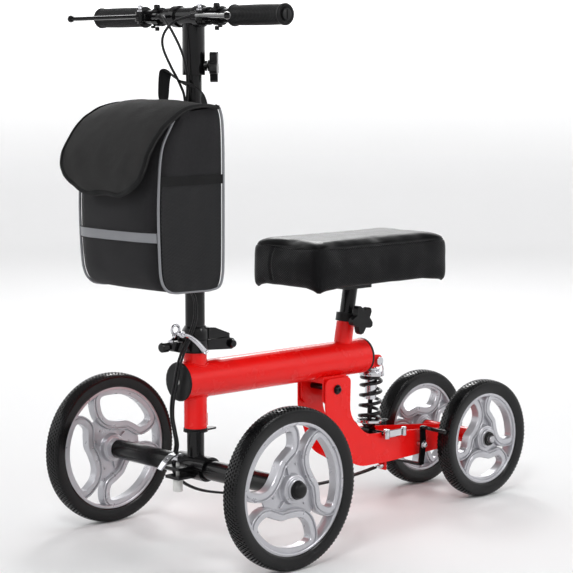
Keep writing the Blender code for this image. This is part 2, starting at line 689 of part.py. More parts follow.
def fold_base():
    """Lower casting of the folding joint: cap over the steering tube, two rear ears and a front fork."""
    _, pin_y, pin_z = FOLD_PIN
    bore = STEERING_RADIUS + GAP
    cup = lathe([(0, 334), (21, 334), (21, 316.4), (bore, 316.4), (bore, 331.3), (0, 331.3)], 20)
    side_view = [(13, 317), (pin_y, 313.9)] + arc((pin_y, pin_z), 9, -80, 85, 8) + [(52, 333.2), (13, 333.5)]
    ears = cut(prism(side_view, -17, 17), box((-8.4, 41, 300), (8.4, 80, 350)),
               rod(STEERING_RADIUS + 3, 310, 332.5, 18))
    fork = rounded([(-19, 318, 0), (-19, 333.4, 0), (-57, 333.4, 3), (-57, 322, 6), (-40, 317, 0)], 3)
    fork = cut(prism(fork, -11, 11), box((-4.2, -80, 300), (4.2, -43, 350)),
               rod(STEERING_RADIUS + 3, 310, 332.5, 18))
    base = cut(join(cup, ears, fork), placed(rod(4.3, -40, 40, 12), along_x(*FOLD_PIN)))
    knob = lathe([(0, -71), (6.5, -71), (8, -69), (8, -58.5), (6, -57.5), (5, -55), (0, -55)], 18)
    base = join(base, placed(knob, along_y(0, 0, 327)))
    add_part("fold_base", base, "steering", "black_paint")
    head = [(4, 17.4), (6.5, 17.4), (6.5, 22), (5.5, 24), (0, 24)]
    add_part("fold_hinge_pin", placed(two_ended(head), along_x(*FOLD_PIN)), "steering", "black_paint")


def fold_lever():
    """Ringed eye bolt and the curved lever that closes down along the joint's left side."""
    x, y, z = FOLD_LEVER_PIN
    route = ((0, 0, 0), (1, 14, -4), (2, 30, -15), (1, 49, -33))
    blade = smooth_path([(x + out, y + back, z + rise) for out, back, rise in route], 4)
    lever = sweep(blade, rectangle(3, 9))
    hub = placed(rod(5.5, -4, 3, 16), along_x(x, y, z))
    add_part("fold_lever", join(lever, hub), "fold_lever", "chrome")
    x, y, z = 10.0, FOLD_LEVER_PIN[1], 351.0
    eye = placed(lathe([(4.6 + u, v) for u, v in circle(1.6, 6)], 12, closed=True), along_x(x, y, z))
    stem = [(x, y, z - 4), (x - 4, y, z - 9), (0, y, z - 14), (0, y, 323)]
    stem = sweep(stem, circle(2.4, 6), up=(0, 1, 0))
    cross = placed(rod(2.4, 8, 21.6, 8), along_x(0, y, z - 2))
    add_part("fold_eye_bolt", join(eye, stem, cross), "steering", "chrome")


def mast():
    _, pin_y, pin_z = FOLD_PIN
    tube = lathe([(13.9, 334.4), (13.9, 636), (10.7, 641), (10.7, 826), (UPPER_MAST_RADIUS, 826),
                  (UPPER_MAST_RADIUS, 656), (MAST_RADIUS, 650), (MAST_RADIUS, 334.4)], 18, closed=True)
    block = lathe([(15, 334.6), (21, 334.6), (21, 349), (17, 356), (15, 356)], 20, closed=True)
    shoulder = [(14, 334.9, 0), (57, 334.9, 2), (64, 338, 3), (28, 352, 6), (14, 353, 0)]
    shoulder = prism(rounded(shoulder, 3), -17, 17)
    tongue = [(15, 335.2), (53.6, 335.2)] + arc((pin_y, pin_z), 8.6, 180, 380, 12)
    tongue += [(64, 337.5), (40, 345), (15, 345)]
    catch = box((-9, -40, 334.6), (9, -14, 346))
    clear_bore = rod(14.6, 325, 380, 18)
    lower = cut(join(block, shoulder, prism(tongue, -8, 8), catch), clear_bore)
    whole = cut(join(tube, lower), placed(rod(4.3, -30, 30, 16), along_x(*FOLD_PIN)),
                box((-4.2, -60, 330), (4.2, -34, 360)))
    add_part("mast_tube", whole, "mast", "black_paint")


# ---------------------------------------------------------------- bag

def bag_ring(bm, z, half_width, front, rear, corner):
    outline = rounded([(-half_width, front, corner), (half_width, front, corner), (half_width, rear, 8),
                       (-half_width, rear, 8)], 4)
    return [bm.verts.new((x, y, z)) for x, y in outline]


def bag_body():
    """An open-topped shell: outer and inner skins of rounded rectangles."""
    half = BAG_HALF_WIDTH
    outer = ((BAG_LOW, half - 12, -150, BAG_REAR, 18), (BAG_LOW + 8, half - 2, -160, BAG_REAR, 20),
             (BAG_LOW + 120, half, -163, BAG_REAR, 20), (BAG_LOW + 215, half, -160, BAG_REAR, 22),
             (BAG_TOP - 34, half, -140, BAG_REAR, 22), (BAG_TOP - 4, half - 2, -112, BAG_REAR, 20))
    bm = bmesh.new()
    wall = 2.5
    rings = [bag_ring(bm, *layer) for layer in outer]
    for z, half_width, front, rear, corner in reversed(outer[1:]):
        rings.append(bag_ring(bm, z, half_width - wall, front + wall, rear - wall, corner - wall))
    z, half_width, front, rear, corner = outer[0]
    rings.append(bag_ring(bm, z + wall, half_width - wall, front + wall, rear - wall, corner - wall))
    skin_rings(bm, rings, closed=False)
    bm.faces.new(rings[0])
    bm.faces.new(rings[-1])
    bmesh.ops.recalc_face_normals(bm, faces=bm.faces)
    return bm


def flap_line():
    """Side view of the flap: from its hinge over the top and down the front."""
    return smooth_path([(0, -36, 707.5), (0, -70, 711.5), (0, -118, 703), (0, -155, 678), (0, -180, 642),
                        (0, -187, 612), (0, -181, 590)], 2)


def bag_flap():
    """A curved sheet over the bag's mouth, with rounded lower corners."""
    wall = 1.5
    across = (-1.0, -0.94, -0.6, 0.0, 0.6, 0.94, 1.0)
    line = flap_line()
    bm = bmesh.new()
    rings = []
    for i, point in enumerate(line):
        ahead = line[min(i + 1, len(line) - 1)] - line[max(i - 1, 0)]
        normal = Vector((0, -ahead.z, ahead.y)).normalized() * wall
        share = i / (len(line) - 1)
        half = FLAP_HALF_WIDTH * (0.93 + 0.07 * math.sin(math.pi * min(1.0, share * 1.5) / 2))
        if share > 0.8:
            half *= 1 - 1.3 * (share - 0.8)
        sag = [Vector((s * half, 4 * s * s, -5 * s * s)) for s in across]
        outer = [bm.verts.new(point - normal + offset) for offset in sag]
        inner = [bm.verts.new(point + normal + offset) for offset in reversed(sag)]
        rings.append(outer + inner)
    skin_rings(bm, rings, closed=False)
    bm.faces.new(rings[0])
    bm.faces.new(rings[-1])
    bmesh.ops.recalc_face_normals(bm, faces=bm.faces)
    return bm


def bag():
    add_part("bag_body", bag_body(), "mast", "black_fabric")
    add_part("bag_flap", bag_flap(), "bag_flap", "black_fabric")


# ---------------------------------------------------------------- handlebar

def handlebar():
    sleeve = rod(18, SLEEVE_LOW, 837, 20)
    half_tee = [(14.2, 21), (17.3, 21), (17.3, 33), (14.2, 33), (14.2, 50), (0, 50)]
    tee = lathe([(r, -x) for r, x in reversed(half_tee)] + half_tee, 18)
    tee = placed(tee, along_x(0, BAR_Y, BAR_Z))
    side_45 = Matrix.Rotation(math.radians(45), 4, "Z")
    boss = placed(rod(8.5, 8, 21.5, 12), Matrix.Translation((0, 0, 768)) @ side_45 @ along_x())
    stem = join(sleeve, tee, boss)
    stem = cut(stem, placed(rod(BAR_RADIUS + GAP, -80, 80, 16), along_x(0, BAR_Y, BAR_Z)),
               rod(UPPER_MAST_RADIUS + GAP, SLEEVE_LOW - 5, 829, 18),
               placed(rod(4.3, 0, 40, 12), Matrix.Translation((0, 0, 768)) @ side_45 @ along_x()))
    add_part("stem_sleeve", stem, "handlebar", "black_paint")
    bar = ring(BAR_RADIUS - 2, BAR_RADIUS, -218, 218, 16)
    add_part("handlebar_tube", placed(bar, along_x(0, BAR_Y, BAR_Z)), "handlebar", "black_paint")
    inner = BAR_RADIUS + GAP
    for side, name in ((1, "left"), (-1, "right")):
        grip = lathe([(0, 218.4), (inner, 218.4), (inner, 106), (17, 106), (17, 110), (15.3, 112),
                      (15.3, 214), (16.6, 217), (16.6, 222), (14, 224), (0, 224)], 16)
        if side < 0:
            grip = placed(grip, Matrix.Rotation(math.pi, 4, "X"))
        add_part("grip_" + name, placed(grip, along_x(0, BAR_Y, BAR_Z)), "handlebar", "rubber")
        add_part("brake_perch_" + name, brake_perch(side), "handlebar", "black_paint")
    knob = star_knob(5, 26, 12, 7)
    place = Matrix.Translation((0, 0, 768)) @ side_45 @ along_x(22)
    add_part("stem_knob", placed(knob, place), "stem_knob", "black_plastic")


def brake_perch(side):
    """Clamp round the bar with a forked boss for the lever and a socket for the cable."""
    x = side * LEVER_PIVOT_X
    clamp = placed(rod(15, x - 7, x + 7, 16), along_x(0, BAR_Y, BAR_Z))
    boss = box((x - 6.5, LEVER_PIVOT_Y + 2, BAR_Z - 7.1), (x + 6.5, BAR_Y - 8, BAR_Z + 7.1))
    ear = rod(7.5, BAR_Z - 7.6, BAR_Z + 7.6, 12)
    ear = placed(ear, Matrix.Translation((x, LEVER_PIVOT_Y, 0)))
    socket = placed(rod(4.5, min(x - side * 26, x), max(x - side * 26, x), 10), along_x(0, -33, BAR_Z))
    perch = join(clamp, boss, ear, socket)
    slot = box((x - 12, LEVER_PIVOT_Y - 14, BAR_Z - 4), (x + 12, LEVER_PIVOT_Y + 9, BAR_Z + 4))
    pin_hole = placed(rod(2.2, BAR_Z - 20, BAR_Z + 20, 10), Matrix.Translation((x, LEVER_PIVOT_Y, 0)))
    return cut(perch, placed(rod(BAR_RADIUS + GAP, -100, 100, 16), along_x(0, BAR_Y, BAR_Z)), slot, pin_hole)


def brake_lever(side, name):
    """A flat blade on a vertical pin, with a ball end in front of the grip."""
    x, y, z = side * LEVER_PIVOT_X, LEVER_PIVOT_Y, BAR_Z
    route = ((-2, -2, 0), (22, -12, -0.5), (60, -26, -1.5), (100, -41, -2.4), (116, -47, -2.6))
    blade = smooth_path([(x + side * out, y + back, z + rise) for out, back, rise in route], 2)
    lever = sweep(blade, [(s * 0.5, t * 0.34) for s, t in circle(10, 8)])
    hub = placed(rod(6.5, z - 3.6, z + 3.6, 12), Matrix.Translation((x, y, 0)))
    ball = placed(lathe([(0, -6.2), (4.4, -4.4), (6.2, 0), (4.4, 4.4), (0, 6.2)], 8),
                  Matrix.Translation((x + side * 117, y - 47.5, z - 2.6)))
    pin = placed(lathe([(0, z - 11), (4, z - 11), (4, z - 7.9), (1.9, z - 7.9), (1.9, z + 7.9), (4, z + 7.9),
                        (4, z + 11), (0, z + 11)], 8), Matrix.Translation((x, y, 0)))
    add_part("brake_lever_" + name, join(hub, lever, ball, pin), "brake_lever_" + name, "black_paint")


# ---------------------------------------------------------------- brake cables

CABLE_RADIUS = 2.1
CABLE_UP = Vector((0, 1, 1))    # the pair lies side by side, square to this and to its own run
# Route of the left lever's cable; the right one runs beside it from the mast on
CABLE_START_LEFT = [(45.4, -33, 844.6), (38, -34, 844.4), (28, -41, 842), (12, -53, 834), (-1, -60, 816),
                    (-5, -58, 796), (-4, -44, 768), (-1, -28, 740)]
CABLE_START_RIGHT = [(-45.4, -33, 844.6), (-38, -34, 844.8), (-30, -37, 844.5), (-17, -43, 838),
                     (2, -46, 822), (14, -40, 797), (16, -31, 772), (13, -23, 742)]
CABLE_DOWN = [(4, -19.6, 712), (4, -19, 640), (4, -19.4, 560), (4, -19.4, 470), (9, -19, 425),
              (19, -16, 400), (21, -17, 372), (21, -28, 345), (19, -42, 318), (12, -45, 296), (5, -45, 270),
              (-3, -45, 240), (-8, -42, 212), (-10, -35, 186), (-14, -28, 165)]
CABLE_UNDER = [(-22, -25, 145), (-27, -24, 122), (-25, -8, 100), (-16, 20, 84), (-7, 60, 74), (-2, 120, 65),
               (0, 200, 59), (0, 270, 57.6), (0, 330, 58.5), (0, 380, 62.5), (0, 412, 66.6)]


def cable(name, start, offset):
    """One housing in one piece, from the lever's socket to the rear adjuster."""
    shared = [Vector(p) for p in CABLE_DOWN + CABLE_UNDER]
    route = [Vector(p) for p in start]
    for i, point in enumerate(shared):
        ahead = shared[min(i + 1, len(shared) - 1)] - shared[max(i - 1, 0)]
        route.append(point + ahead.cross(CABLE_UP).normalized() * offset)
    points = smooth_path(route, 2)
    curve = bpy.data.curves.new(name, "CURVE")
    curve.dimensions = "3D"
    curve.bevel_depth = CABLE_RADIUS * MM
    curve.bevel_resolution = 2
    curve.use_fill_caps = True
    line = curve.splines.new("POLY")
    line.points.add(len(points) - 1)
    pivot = BODIES["frame"][1]
    for spot, point in zip(line.points, points):
        spot.co = (*((point - pivot) * MM), 1.0)
    add_object(name, curve, "frame", "black_plastic")


# ---------------------------------------------------------------- assembly

def make_bodies():
    body("frame", None, (0, 0, 0))
    body("seat_knob", "frame", leaning(SEAT_AXIS_POINT, SEAT_LEAN) @ Vector((26.5, 0, 39.5)))
    body("seat", "frame", SEAT_AXIS_POINT)
    body("swingarm", "frame", SWING_PIVOT)
    body("shock_body", "frame", SHOCK_TOP)
    body("shock_rod", "shock_body", SHOCK_BOTTOM)
    body("shock_lever", "swingarm", SHOCK_LEVER_PIN)
    body("rear_brake", "swingarm", BRAKE_PIVOT)
    body("steering", "frame", (0, 0, 250))
    body("axle_lever", "steering", AXLE_LEVER_PIN)
    body("fold_lever", "steering", FOLD_LEVER_PIN)
    body("mast", "steering", FOLD_PIN)
    body("bag_flap", "mast", FLAP_HINGE)
    body("handlebar", "mast", (0, 0, 768))
    body("stem_knob", "handlebar", (0, 0, 768))
    for side, name in ((1, "left"), (-1, "right")):
        body("brake_lever_" + name, "handlebar", (side * LEVER_PIVOT_X, LEVER_PIVOT_Y, BAR_Z))
        body("front_wheel_" + name, "steering", (side * FRONT_WHEEL_X, 0, FRONT_RADIUS))
        body("rear_wheel_" + name, "swingarm", (side * REAR_WHEEL_X, *REAR_AXLE[1:]))


# Turn of each rim's openings about its axle, in degrees
WHEEL_PHASE = {("front", 1): 0, ("front", -1): 53, ("rear", 1): -12, ("rear", -1): 51}


def build():
    clear_scene()
    make_bodies()
    main_frame()
    frame_fittings()
    seat_knob()
    seat_parts()
    swingarm()
    shock_lever()
    shock()
    rear_brake()
    steering()
    axle_release_lever()
    fold_base()
    fold_lever()
    mast()
    bag()
    handlebar()
    for side, name in ((1, "left"), (-1, "right")):
        brake_lever(side, name)
        wheel("front", side, "front_wheel_" + name, WHEEL_PHASE["front", side])
        wheel("rear", side, "rear_wheel_" + name, WHEEL_PHASE["rear", side])
    cable("brake_cable_left", CABLE_START_LEFT, -2.4)
    cable("brake_cable_right", CABLE_START_RIGHT, 2.4)


build()
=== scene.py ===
import json
import math

import bmesh
import bpy
from mathutils import Matrix, Vector, noise
from mathutils.bvhtree import BVHTree

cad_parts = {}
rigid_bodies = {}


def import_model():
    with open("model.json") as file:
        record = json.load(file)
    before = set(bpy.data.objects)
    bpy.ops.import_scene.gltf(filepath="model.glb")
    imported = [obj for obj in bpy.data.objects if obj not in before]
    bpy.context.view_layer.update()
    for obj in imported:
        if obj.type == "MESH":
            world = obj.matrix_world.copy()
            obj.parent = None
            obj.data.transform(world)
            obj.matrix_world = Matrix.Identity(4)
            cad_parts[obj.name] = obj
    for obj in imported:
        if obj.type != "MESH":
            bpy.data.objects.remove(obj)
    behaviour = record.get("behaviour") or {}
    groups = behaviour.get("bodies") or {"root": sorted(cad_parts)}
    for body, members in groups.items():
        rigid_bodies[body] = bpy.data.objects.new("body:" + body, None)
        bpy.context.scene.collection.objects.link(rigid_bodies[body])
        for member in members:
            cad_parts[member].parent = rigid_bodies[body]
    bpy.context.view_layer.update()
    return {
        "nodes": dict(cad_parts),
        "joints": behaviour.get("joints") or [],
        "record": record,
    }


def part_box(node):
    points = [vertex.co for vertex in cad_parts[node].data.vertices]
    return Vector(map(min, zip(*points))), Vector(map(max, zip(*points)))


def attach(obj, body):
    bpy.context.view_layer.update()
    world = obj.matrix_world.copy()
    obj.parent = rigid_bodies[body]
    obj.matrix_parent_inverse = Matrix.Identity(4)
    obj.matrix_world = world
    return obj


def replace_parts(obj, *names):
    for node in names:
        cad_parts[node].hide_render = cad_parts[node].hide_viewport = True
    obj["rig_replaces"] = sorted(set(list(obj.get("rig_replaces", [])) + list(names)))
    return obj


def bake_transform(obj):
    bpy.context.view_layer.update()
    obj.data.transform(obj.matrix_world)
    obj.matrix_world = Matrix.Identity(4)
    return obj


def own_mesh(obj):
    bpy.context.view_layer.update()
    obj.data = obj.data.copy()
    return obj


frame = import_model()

MM = 0.001
JOINTS = {joint["name"]: joint for joint in frame["joints"]}
BODY_OF = {n: name for name, members in frame["record"]["behaviour"]["bodies"].items() for n in members}
AXLE_Y = JOINTS["steer"]["pos_m"][1] / MM
TO_FRAME = Matrix.Scale(MM, 4) @ Matrix.Translation((0, AXLE_Y, 0))
# Sign of x, name, and the turn that brings a shape made for the left side to that side
SIDES = ((1, "left", Matrix.Identity(4)), (-1, "right", Matrix.Rotation(math.pi, 4, "Z")))


def pivot(joint):
    """A joint's place in millimetres, y from the front axle."""
    x, y, z = JOINTS[joint]["pos_m"]
    return Vector((x / MM, y / MM - AXLE_Y, z / MM))


def low_high(node):
    """Lowest and highest corner of a CAD node in the same millimetres."""
    low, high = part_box(node)
    shift = Vector((0, AXLE_Y, 0))
    return low / MM - shift, high / MM - shift


def metres(point):
    """A place in millimetres, y from the front axle, as the frame has it."""
    return TO_FRAME @ Vector(point)


def clamp(value, low=0.0, high=1.0):
    return min(high, max(low, value))


def given(made, **values):
    """The same thing with its attributes set."""
    for key, value in values.items():
        setattr(made, key, value)
    return made


# ---- materials

LOOKS = {}


class Look:
    """A Principled material with its node tree; texture sizes are in metres of the object."""

    def __init__(self, name, colour, roughness, metallic=0.0, **sockets):
        self.material = bpy.data.materials.new(name)
        self.material.use_nodes = True
        self.material.diffuse_color = (*colour, 1.0)
        self.tree = self.material.node_tree
        self.shader = self.tree.nodes["Principled BSDF"]
        self.put(self.shader, {"Base Color": (*colour, 1.0), "Roughness": roughness, "Metallic": metallic})
        self.put(self.shader, {socket.replace("_", " "): value for socket, value in sockets.items()})
        self.colour = colour
        self.roughness = roughness
        self.coords = self.add("ShaderNodeTexCoord", {}).outputs["Object"]
        LOOKS[name] = self

    def put(self, node, sockets):
        """Give a node's inputs their numbers, or link them to another node's outputs."""
        for socket, value in sockets.items():
            if isinstance(value, bpy.types.NodeSocket):
                self.tree.links.new(value, node.inputs[socket])
            else:
                node.inputs[socket].default_value = value

    def add(self, kind, sockets, **values):
        made = given(self.tree.nodes.new(kind), **values)
        self.put(made, sockets)
        return made

    def noise(self, per_metre, detail=3.0, stretch=(1, 1, 1)):
        scale = [per_metre * s for s in stretch]
        scaled = self.add("ShaderNodeVectorMath", {0: self.coords, 1: scale}, operation="MULTIPLY")
        made = self.add("ShaderNodeTexNoise", {"Scale": 1.0, "Detail": detail, "Vector": scaled.outputs[0]})
        return made.outputs["Fac"]

    def cells(self, per_metre):
        made = self.add("ShaderNodeTexVoronoi", {"Scale": per_metre, "Vector": self.coords})
        return made.outputs["Distance"]

    def math(self, operation, first, second):
        return self.add("ShaderNodeMath", {0: first, 1: second}, operation=operation).outputs[0]

    def along(self, direction):
        """How far the point lies along a direction, in metres."""
        made = self.add("ShaderNodeVectorMath", {0: self.coords, 1: direction}, operation="DOT_PRODUCT")
        return made.outputs["Value"]

    def wave(self, direction, pitch):
        """A sine along a direction that repeats every pitch metres."""
        turns = self.math("MULTIPLY", self.along(direction), 2 * math.pi / pitch)
        return self.add("ShaderNodeMath", {0: turns}, operation="SINE").outputs[0]

    def ramp(self, value, low, high, start=0.0, end=1.0, kind="LINEAR"):
        """Runs from low to high while the value goes from start to end."""
        ends = {"From Min": start, "From Max": end, "To Min": low, "To Max": high}
        made = self.add("ShaderNodeMapRange", {"Value": value, **ends}, interpolation_type=kind)
        return made.outputs["Result"]

    def vary_roughness(self, value, spread):
        low, high = self.roughness - spread, self.roughness + spread
        self.put(self.shader, {"Roughness": self.ramp(value, low, high)})

    def vary_colour(self, value, low, high):
        """The colour times a factor that runs from low to high with the value."""
        ends = [(*[min(1.0, c * factor) for c in self.colour], 1.0) for factor in (low, high)]
        mix = self.add("ShaderNodeMix", {}, data_type="RGBA")
        self.put(mix, {"Factor": value, "A": ends[0], "B": ends[1]})
        self.put(self.shader, {"Base Color": mix.outputs["Result"]})

    def bump(self, value, depth):
        """Raise the surface by depth metres times the value."""
        made = self.add("ShaderNodeBump", {"Strength": 1.0, "Distance": depth, "Height": value})
        self.put(self.shader, {"Normal": made.outputs["Normal"]})


def paint(name, colour, roughness, coat):
    """Powder coat: fine orange peel under a thin clear layer."""
    look = Look(name, colour, roughness, Specular_IOR_Level=0.25, Coat_Weight=coat, Coat_Roughness=0.08)
    look.bump(look.noise(500, 2), 0.000005)
    look.vary_colour(look.noise(9), 0.95, 1.04)
    look.vary_roughness(look.noise(35), 0.02)


def moulded(name, colour, roughness, grain, metallic=0.0, gloss=0.22):
    """Moulded plastic or rubber with a fine spark-eroded grain."""
    look = Look(name, colour, roughness, metallic, Specular_IOR_Level=gloss)
    look.bump(look.noise(1400, 2), grain)
    look.vary_colour(look.noise(18), 0.85, 1.15)
    look.vary_roughness(look.noise(60), 0.08)


def plated(name, colour, roughness):
    """Bright plating with faint polishing marks."""
    look = Look(name, colour, roughness, 1.0)
    look.bump(look.noise(300, 2), 0.000012)
    look.vary_roughness(look.noise(500, 3, (1, 1, 0.1)), 0.06)
    look.vary_colour(look.noise(25), 0.85, 1.05)


def woven(name, colour, pitch, depth, fleck):
    """Plain-weave polyester: crossing threads, uneven yarn and large soft shading."""
    look = Look(name, colour, 0.85, Specular_IOR_Level=0.25, Sheen_Weight=0.05, Sheen_Roughness=0.5)
    threads = look.math("MULTIPLY", look.wave((1, 1, 0), pitch), look.wave((0, 0.6, 1), pitch))
    uneven = look.math("MULTIPLY", look.noise(420, 3), 2.0)
    look.bump(look.math("ADD", threads, uneven), depth)
    shade = look.math("ADD", look.math("MULTIPLY", look.noise(260, 4), 0.7),
                      look.math("MULTIPLY", look.noise(14), 0.3))
    look.vary_colour(shade, 1 - fleck, 1 + fleck)


def net(name, colour, pitch):
    """Knitted mesh: rows of round holes that show the dark cloth behind them, painted darker still as shade
    inside the pocket.
    """
    look = Look(name, colour, 0.75, Specular_IOR_Level=0.3, Sheen_Weight=0.05)
    holes = look.math("MULTIPLY", look.wave((1, 1, 0.5), pitch), look.wave((-0.5, -0.5, 1), pitch))
    look.bump(holes, 0.0003)
    # painted shade: the holes are coloured far darker than the bag's own cloth that lies behind them
    look.vary_colour(look.math("ADD", look.math("MULTIPLY", holes, 0.5), 0.5), 0.35, 2.1)


SIDES_BELOW = 12  # the cushion's sides start this far below its top
DIMPLE_PITCH = 0.0042  # in metres


def vinyl():
    """Cushion cover: soft grain on top, rows of small dimples on the sides, with painted highlights on their
    raised points.
    """
    look = Look("black_vinyl", (0.0035, 0.0035, 0.004), 0.32, Specular_IOR_Level=0.09)
    below = look.math("LESS_THAN", look.along((0, 0, 1)), (low_high("seat_cushion")[1].z - SIDES_BELOW) * MM)
    dimples = look.math("MULTIPLY", look.wave((1, 1, 0), DIMPLE_PITCH), look.wave((0, 0, 1), DIMPLE_PITCH))
    grain = look.math("MULTIPLY", look.cells(520), 0.5)
    look.bump(look.math("ADD", look.math("MULTIPLY", dimples, below), grain), 0.00025)
    # painted highlights: on the sides the raised dimples are coloured lighter and the hollows between them
    # darker
    look.vary_colour(look.math("MULTIPLY", look.math("ADD", dimples, 1.0), below), 1.0, 1.5)
    look.vary_roughness(look.noise(45), 0.06)


def make_looks():
    paint("red_paint", (0.86, 0.006, 0.005), 0.27, 0.1)
    paint("black_paint", (0.004, 0.004, 0.0045), 0.2, 0.1)
    moulded("black_plastic", (0.008, 0.008, 0.0085), 0.36, 0.00004)
    moulded("cable_jacket", (0.012, 0.012, 0.013), 0.32, 0.00003)
    moulded("white_plastic", (0.72, 0.72, 0.7), 0.35, 0.00002, gloss=0.5)
    moulded("rubber", (0.007, 0.007, 0.0075), 0.45, 0.00005)
    moulded("tyre", (0.005, 0.005, 0.0055), 0.18, 0.000006, gloss=0.28)
    moulded("silver_plastic", (0.5, 0.5, 0.53), 0.3, 0.00001, 0.5, 0.5)
    plated("chrome", (0.66, 0.66, 0.69), 0.12)
    plated("steel", (0.5, 0.5, 0.52), 0.3)
    woven("black_fabric", (0.013, 0.0125, 0.014), 0.0013, 0.00012, 0.5)
    woven("flap_fabric", (0.016, 0.0155, 0.0155), 0.0013, 0.00012, 0.45)
    woven("webbing", (0.006, 0.006, 0.0065), 0.0022, 0.0002, 0.4)
    woven("binding", (0.004, 0.004, 0.0045), 0.0016, 0.00015, 0.3)
    net("mesh_pocket", (0.007, 0.007, 0.008), 0.0032)
    moulded("reflective_grey", (0.22, 0.225, 0.24), 0.42, 0.0001, 0.2, 0.5)
    vinyl()


# ---- mesh helpers

def along_x(x=0.0, y=0.0, z=0.0):
    """Places a shape made about Z so that its axis lies along +X."""
    return Matrix.Translation((x, y, z)) @ Matrix.Rotation(math.pi / 2, 4, "Y")


def along_y(x=0.0, y=0.0, z=0.0):
    """Places a shape made about Z so that its axis lies along +Y."""
    return Matrix.Translation((x, y, z)) @ Matrix.Rotation(-math.pi / 2, 4, "X")


def at(x, y, z):
    return Matrix.Translation((x, y, z))


def moved(bm, matrix):
    bm.transform(matrix)
    return bm


def to_mesh(name, bm):
    """A mesh from a bmesh, which is used up."""
    mesh = bpy.data.meshes.new(name)
    bm.to_mesh(mesh)
    bm.free()
    return mesh


def linked(name, data):
    """A new object in the scene."""
    made = bpy.data.objects.new(name, data)
    bpy.context.scene.collection.objects.link(made)
    return made


def both_ways(profile):
    """A (radius, x) profile followed by its mirror image, last point first."""
    return profile + [(r, -x) for r, x in reversed(profile)]


def skin(rings, closed=False, caps=False):
    """A mesh from rings of points, neighbours joined; a ring of one point is a tip."""
    bm = bmesh.new()
    rows = [[bm.verts.new(point) for point in ring] for ring in rings]
    pairs = list(zip(rows, rows[1:]))
    if closed:
        pairs.append((rows[-1], rows[0]))
    count = max(len(row) for row in rows)
    for lower, upper in pairs:
        for i in range(count):
            j = (i + 1) % count
            corners = [lower[i % len(lower)], lower[j % len(lower)],
                       upper[j % len(upper)], upper[i % len(upper)]]
            bm.faces.new(list(dict.fromkeys(corners)))
    if caps:
        bm.faces.new(rows[0])
        bm.faces.new(rows[-1])
    bmesh.ops.recalc_face_normals(bm, faces=bm.faces)
    return bm


def circle(radius, sides=12):
    turns = [2 * math.pi * i / sides for i in range(sides)]
    return [(radius * math.cos(a), radius * math.sin(a)) for a in turns]


def lathe(profile, segments=32, closed=False):
    """Turn (radius, height) points about Z. A closed profile makes a ring."""
    return skin([[(x, y, height) for x, y in circle(radius, segments if radius else 1)]
                 for radius, height in profile], closed)


def rod(radius, low, high, edge=0.8, segments=24):
    """A turned rod or disc whose rims are rounded."""
    edge = min(edge, radius * 0.5, (high - low) * 0.45)
    rim = edge * 0.3
    profile = [(0, low), (radius - edge, low), (radius - rim, low + rim), (radius, low + edge),
               (radius, high - edge), (radius - rim, high - rim), (radius - edge, high), (0, high)]
    return lathe(profile, segments)


def strap_section(width, thickness):
    """Cross-section of a flat strip with soft edges, the width along the sweep's side."""
    w, t = width / 2, thickness / 2
    return [(-w, 0), (-w + t, -t), (w - t, -t), (w, 0), (w - t, t), (-w + t, t)]


def smooth_path(points, per_span=6, closed=False):
    """A Catmull-Rom curve through the points."""
    knots = [Vector(p) for p in points]
    if closed:
        knots = [knots[-1]] + knots + knots[:2]
    else:
        knots = [2 * knots[0] - knots[1]] + knots + [2 * knots[-1] - knots[-2]]
    curve = []
    for a, b, c, d in zip(knots, knots[1:], knots[2:], knots[3:]):
        for step in range(per_span):
            t = step / per_span
            curve.append(0.5 * (2 * b + (c - a) * t + (2 * a - 5 * b + 4 * c - d) * t * t
                                + (3 * b - a - 3 * c + d) * t ** 3))
    if not closed:
        curve.append(knots[-2])
    return curve


def sample(line, share):
    """The point at a share of a line's number of points, and the step to the next one."""
    spot = share * (len(line) - 1)
    i = min(int(spot), len(line) - 2)
    return line[i].lerp(line[i + 1], spot - i), line[i + 1] - line[i]


def sweep(path, section, up=(0, 0, 1), closed=False, scale=None):
    """Sweep a (side, up) section along a path; scale gives its width at each share of the path."""
    path = [Vector(p) for p in path]
    rings = []
    last = len(path) - 1
    for i, point in enumerate(path):
        if closed:
            ahead = path[(i + 1) % len(path)] - path[i - 1]
        else:
            ahead = path[min(i + 1, last)] - path[max(i - 1, 0)]
        side = ahead.cross(up(point) if callable(up) else Vector(up)).normalized()
        top = side.cross(ahead).normalized()
        size = scale(i / last) if scale else 1.0
        rings.append([point + side * s * size + top * t for s, t in section])
    return skin(rings, closed, caps=not closed)


def join(*parts):
    """Several meshes as one."""
    whole = bmesh.new()
    for part in parts:
        mesh = to_mesh("part", part)
        whole.from_mesh(mesh)
        bpy.data.meshes.remove(mesh)
    return whole


def cut(target, tool):
    """The target without the tool's volume; both meshes are used up."""
    pair = [linked("cut", to_mesh("cut", bm)) for bm in (target, tool)]
    given(pair[0].modifiers.new("cut", "BOOLEAN"), operation="DIFFERENCE", object=pair[1], solver="EXACT")
    result = bmesh.new()
    result.from_object(pair[0], bpy.context.evaluated_depsgraph_get())
    for made in pair:
        mesh = made.data
        bpy.data.objects.remove(made, do_unlink=True)
        bpy.data.meshes.remove(mesh)
    return result


def mesh_of(name, bm, smooth_angle=40.0):
    """A mesh shaded smooth up to the angle, sharp beyond it."""
    mesh = to_mesh(name, bm)
    mesh.shade_smooth()
    mesh.set_sharp_from_angle(angle=math.radians(smooth_angle))
    return mesh


def add_piece(name, shape, body, look, *stands_for, slot=None, smooth_angle=40.0):
    """A bmesh in millimetres, or a mesh in metres, on its body and in place of the CAD nodes named."""
    if isinstance(shape, bmesh.types.BMesh):
        shape.transform(TO_FRAME)
        shape = mesh_of(name, shape, smooth_angle)
    if not shape.materials:
        shape.materials.append(LOOKS[look].material)
    piece = linked(name, shape)
    if body:
        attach(piece, body)
    if stands_for:
        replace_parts(piece, *stands_for)
    return piece


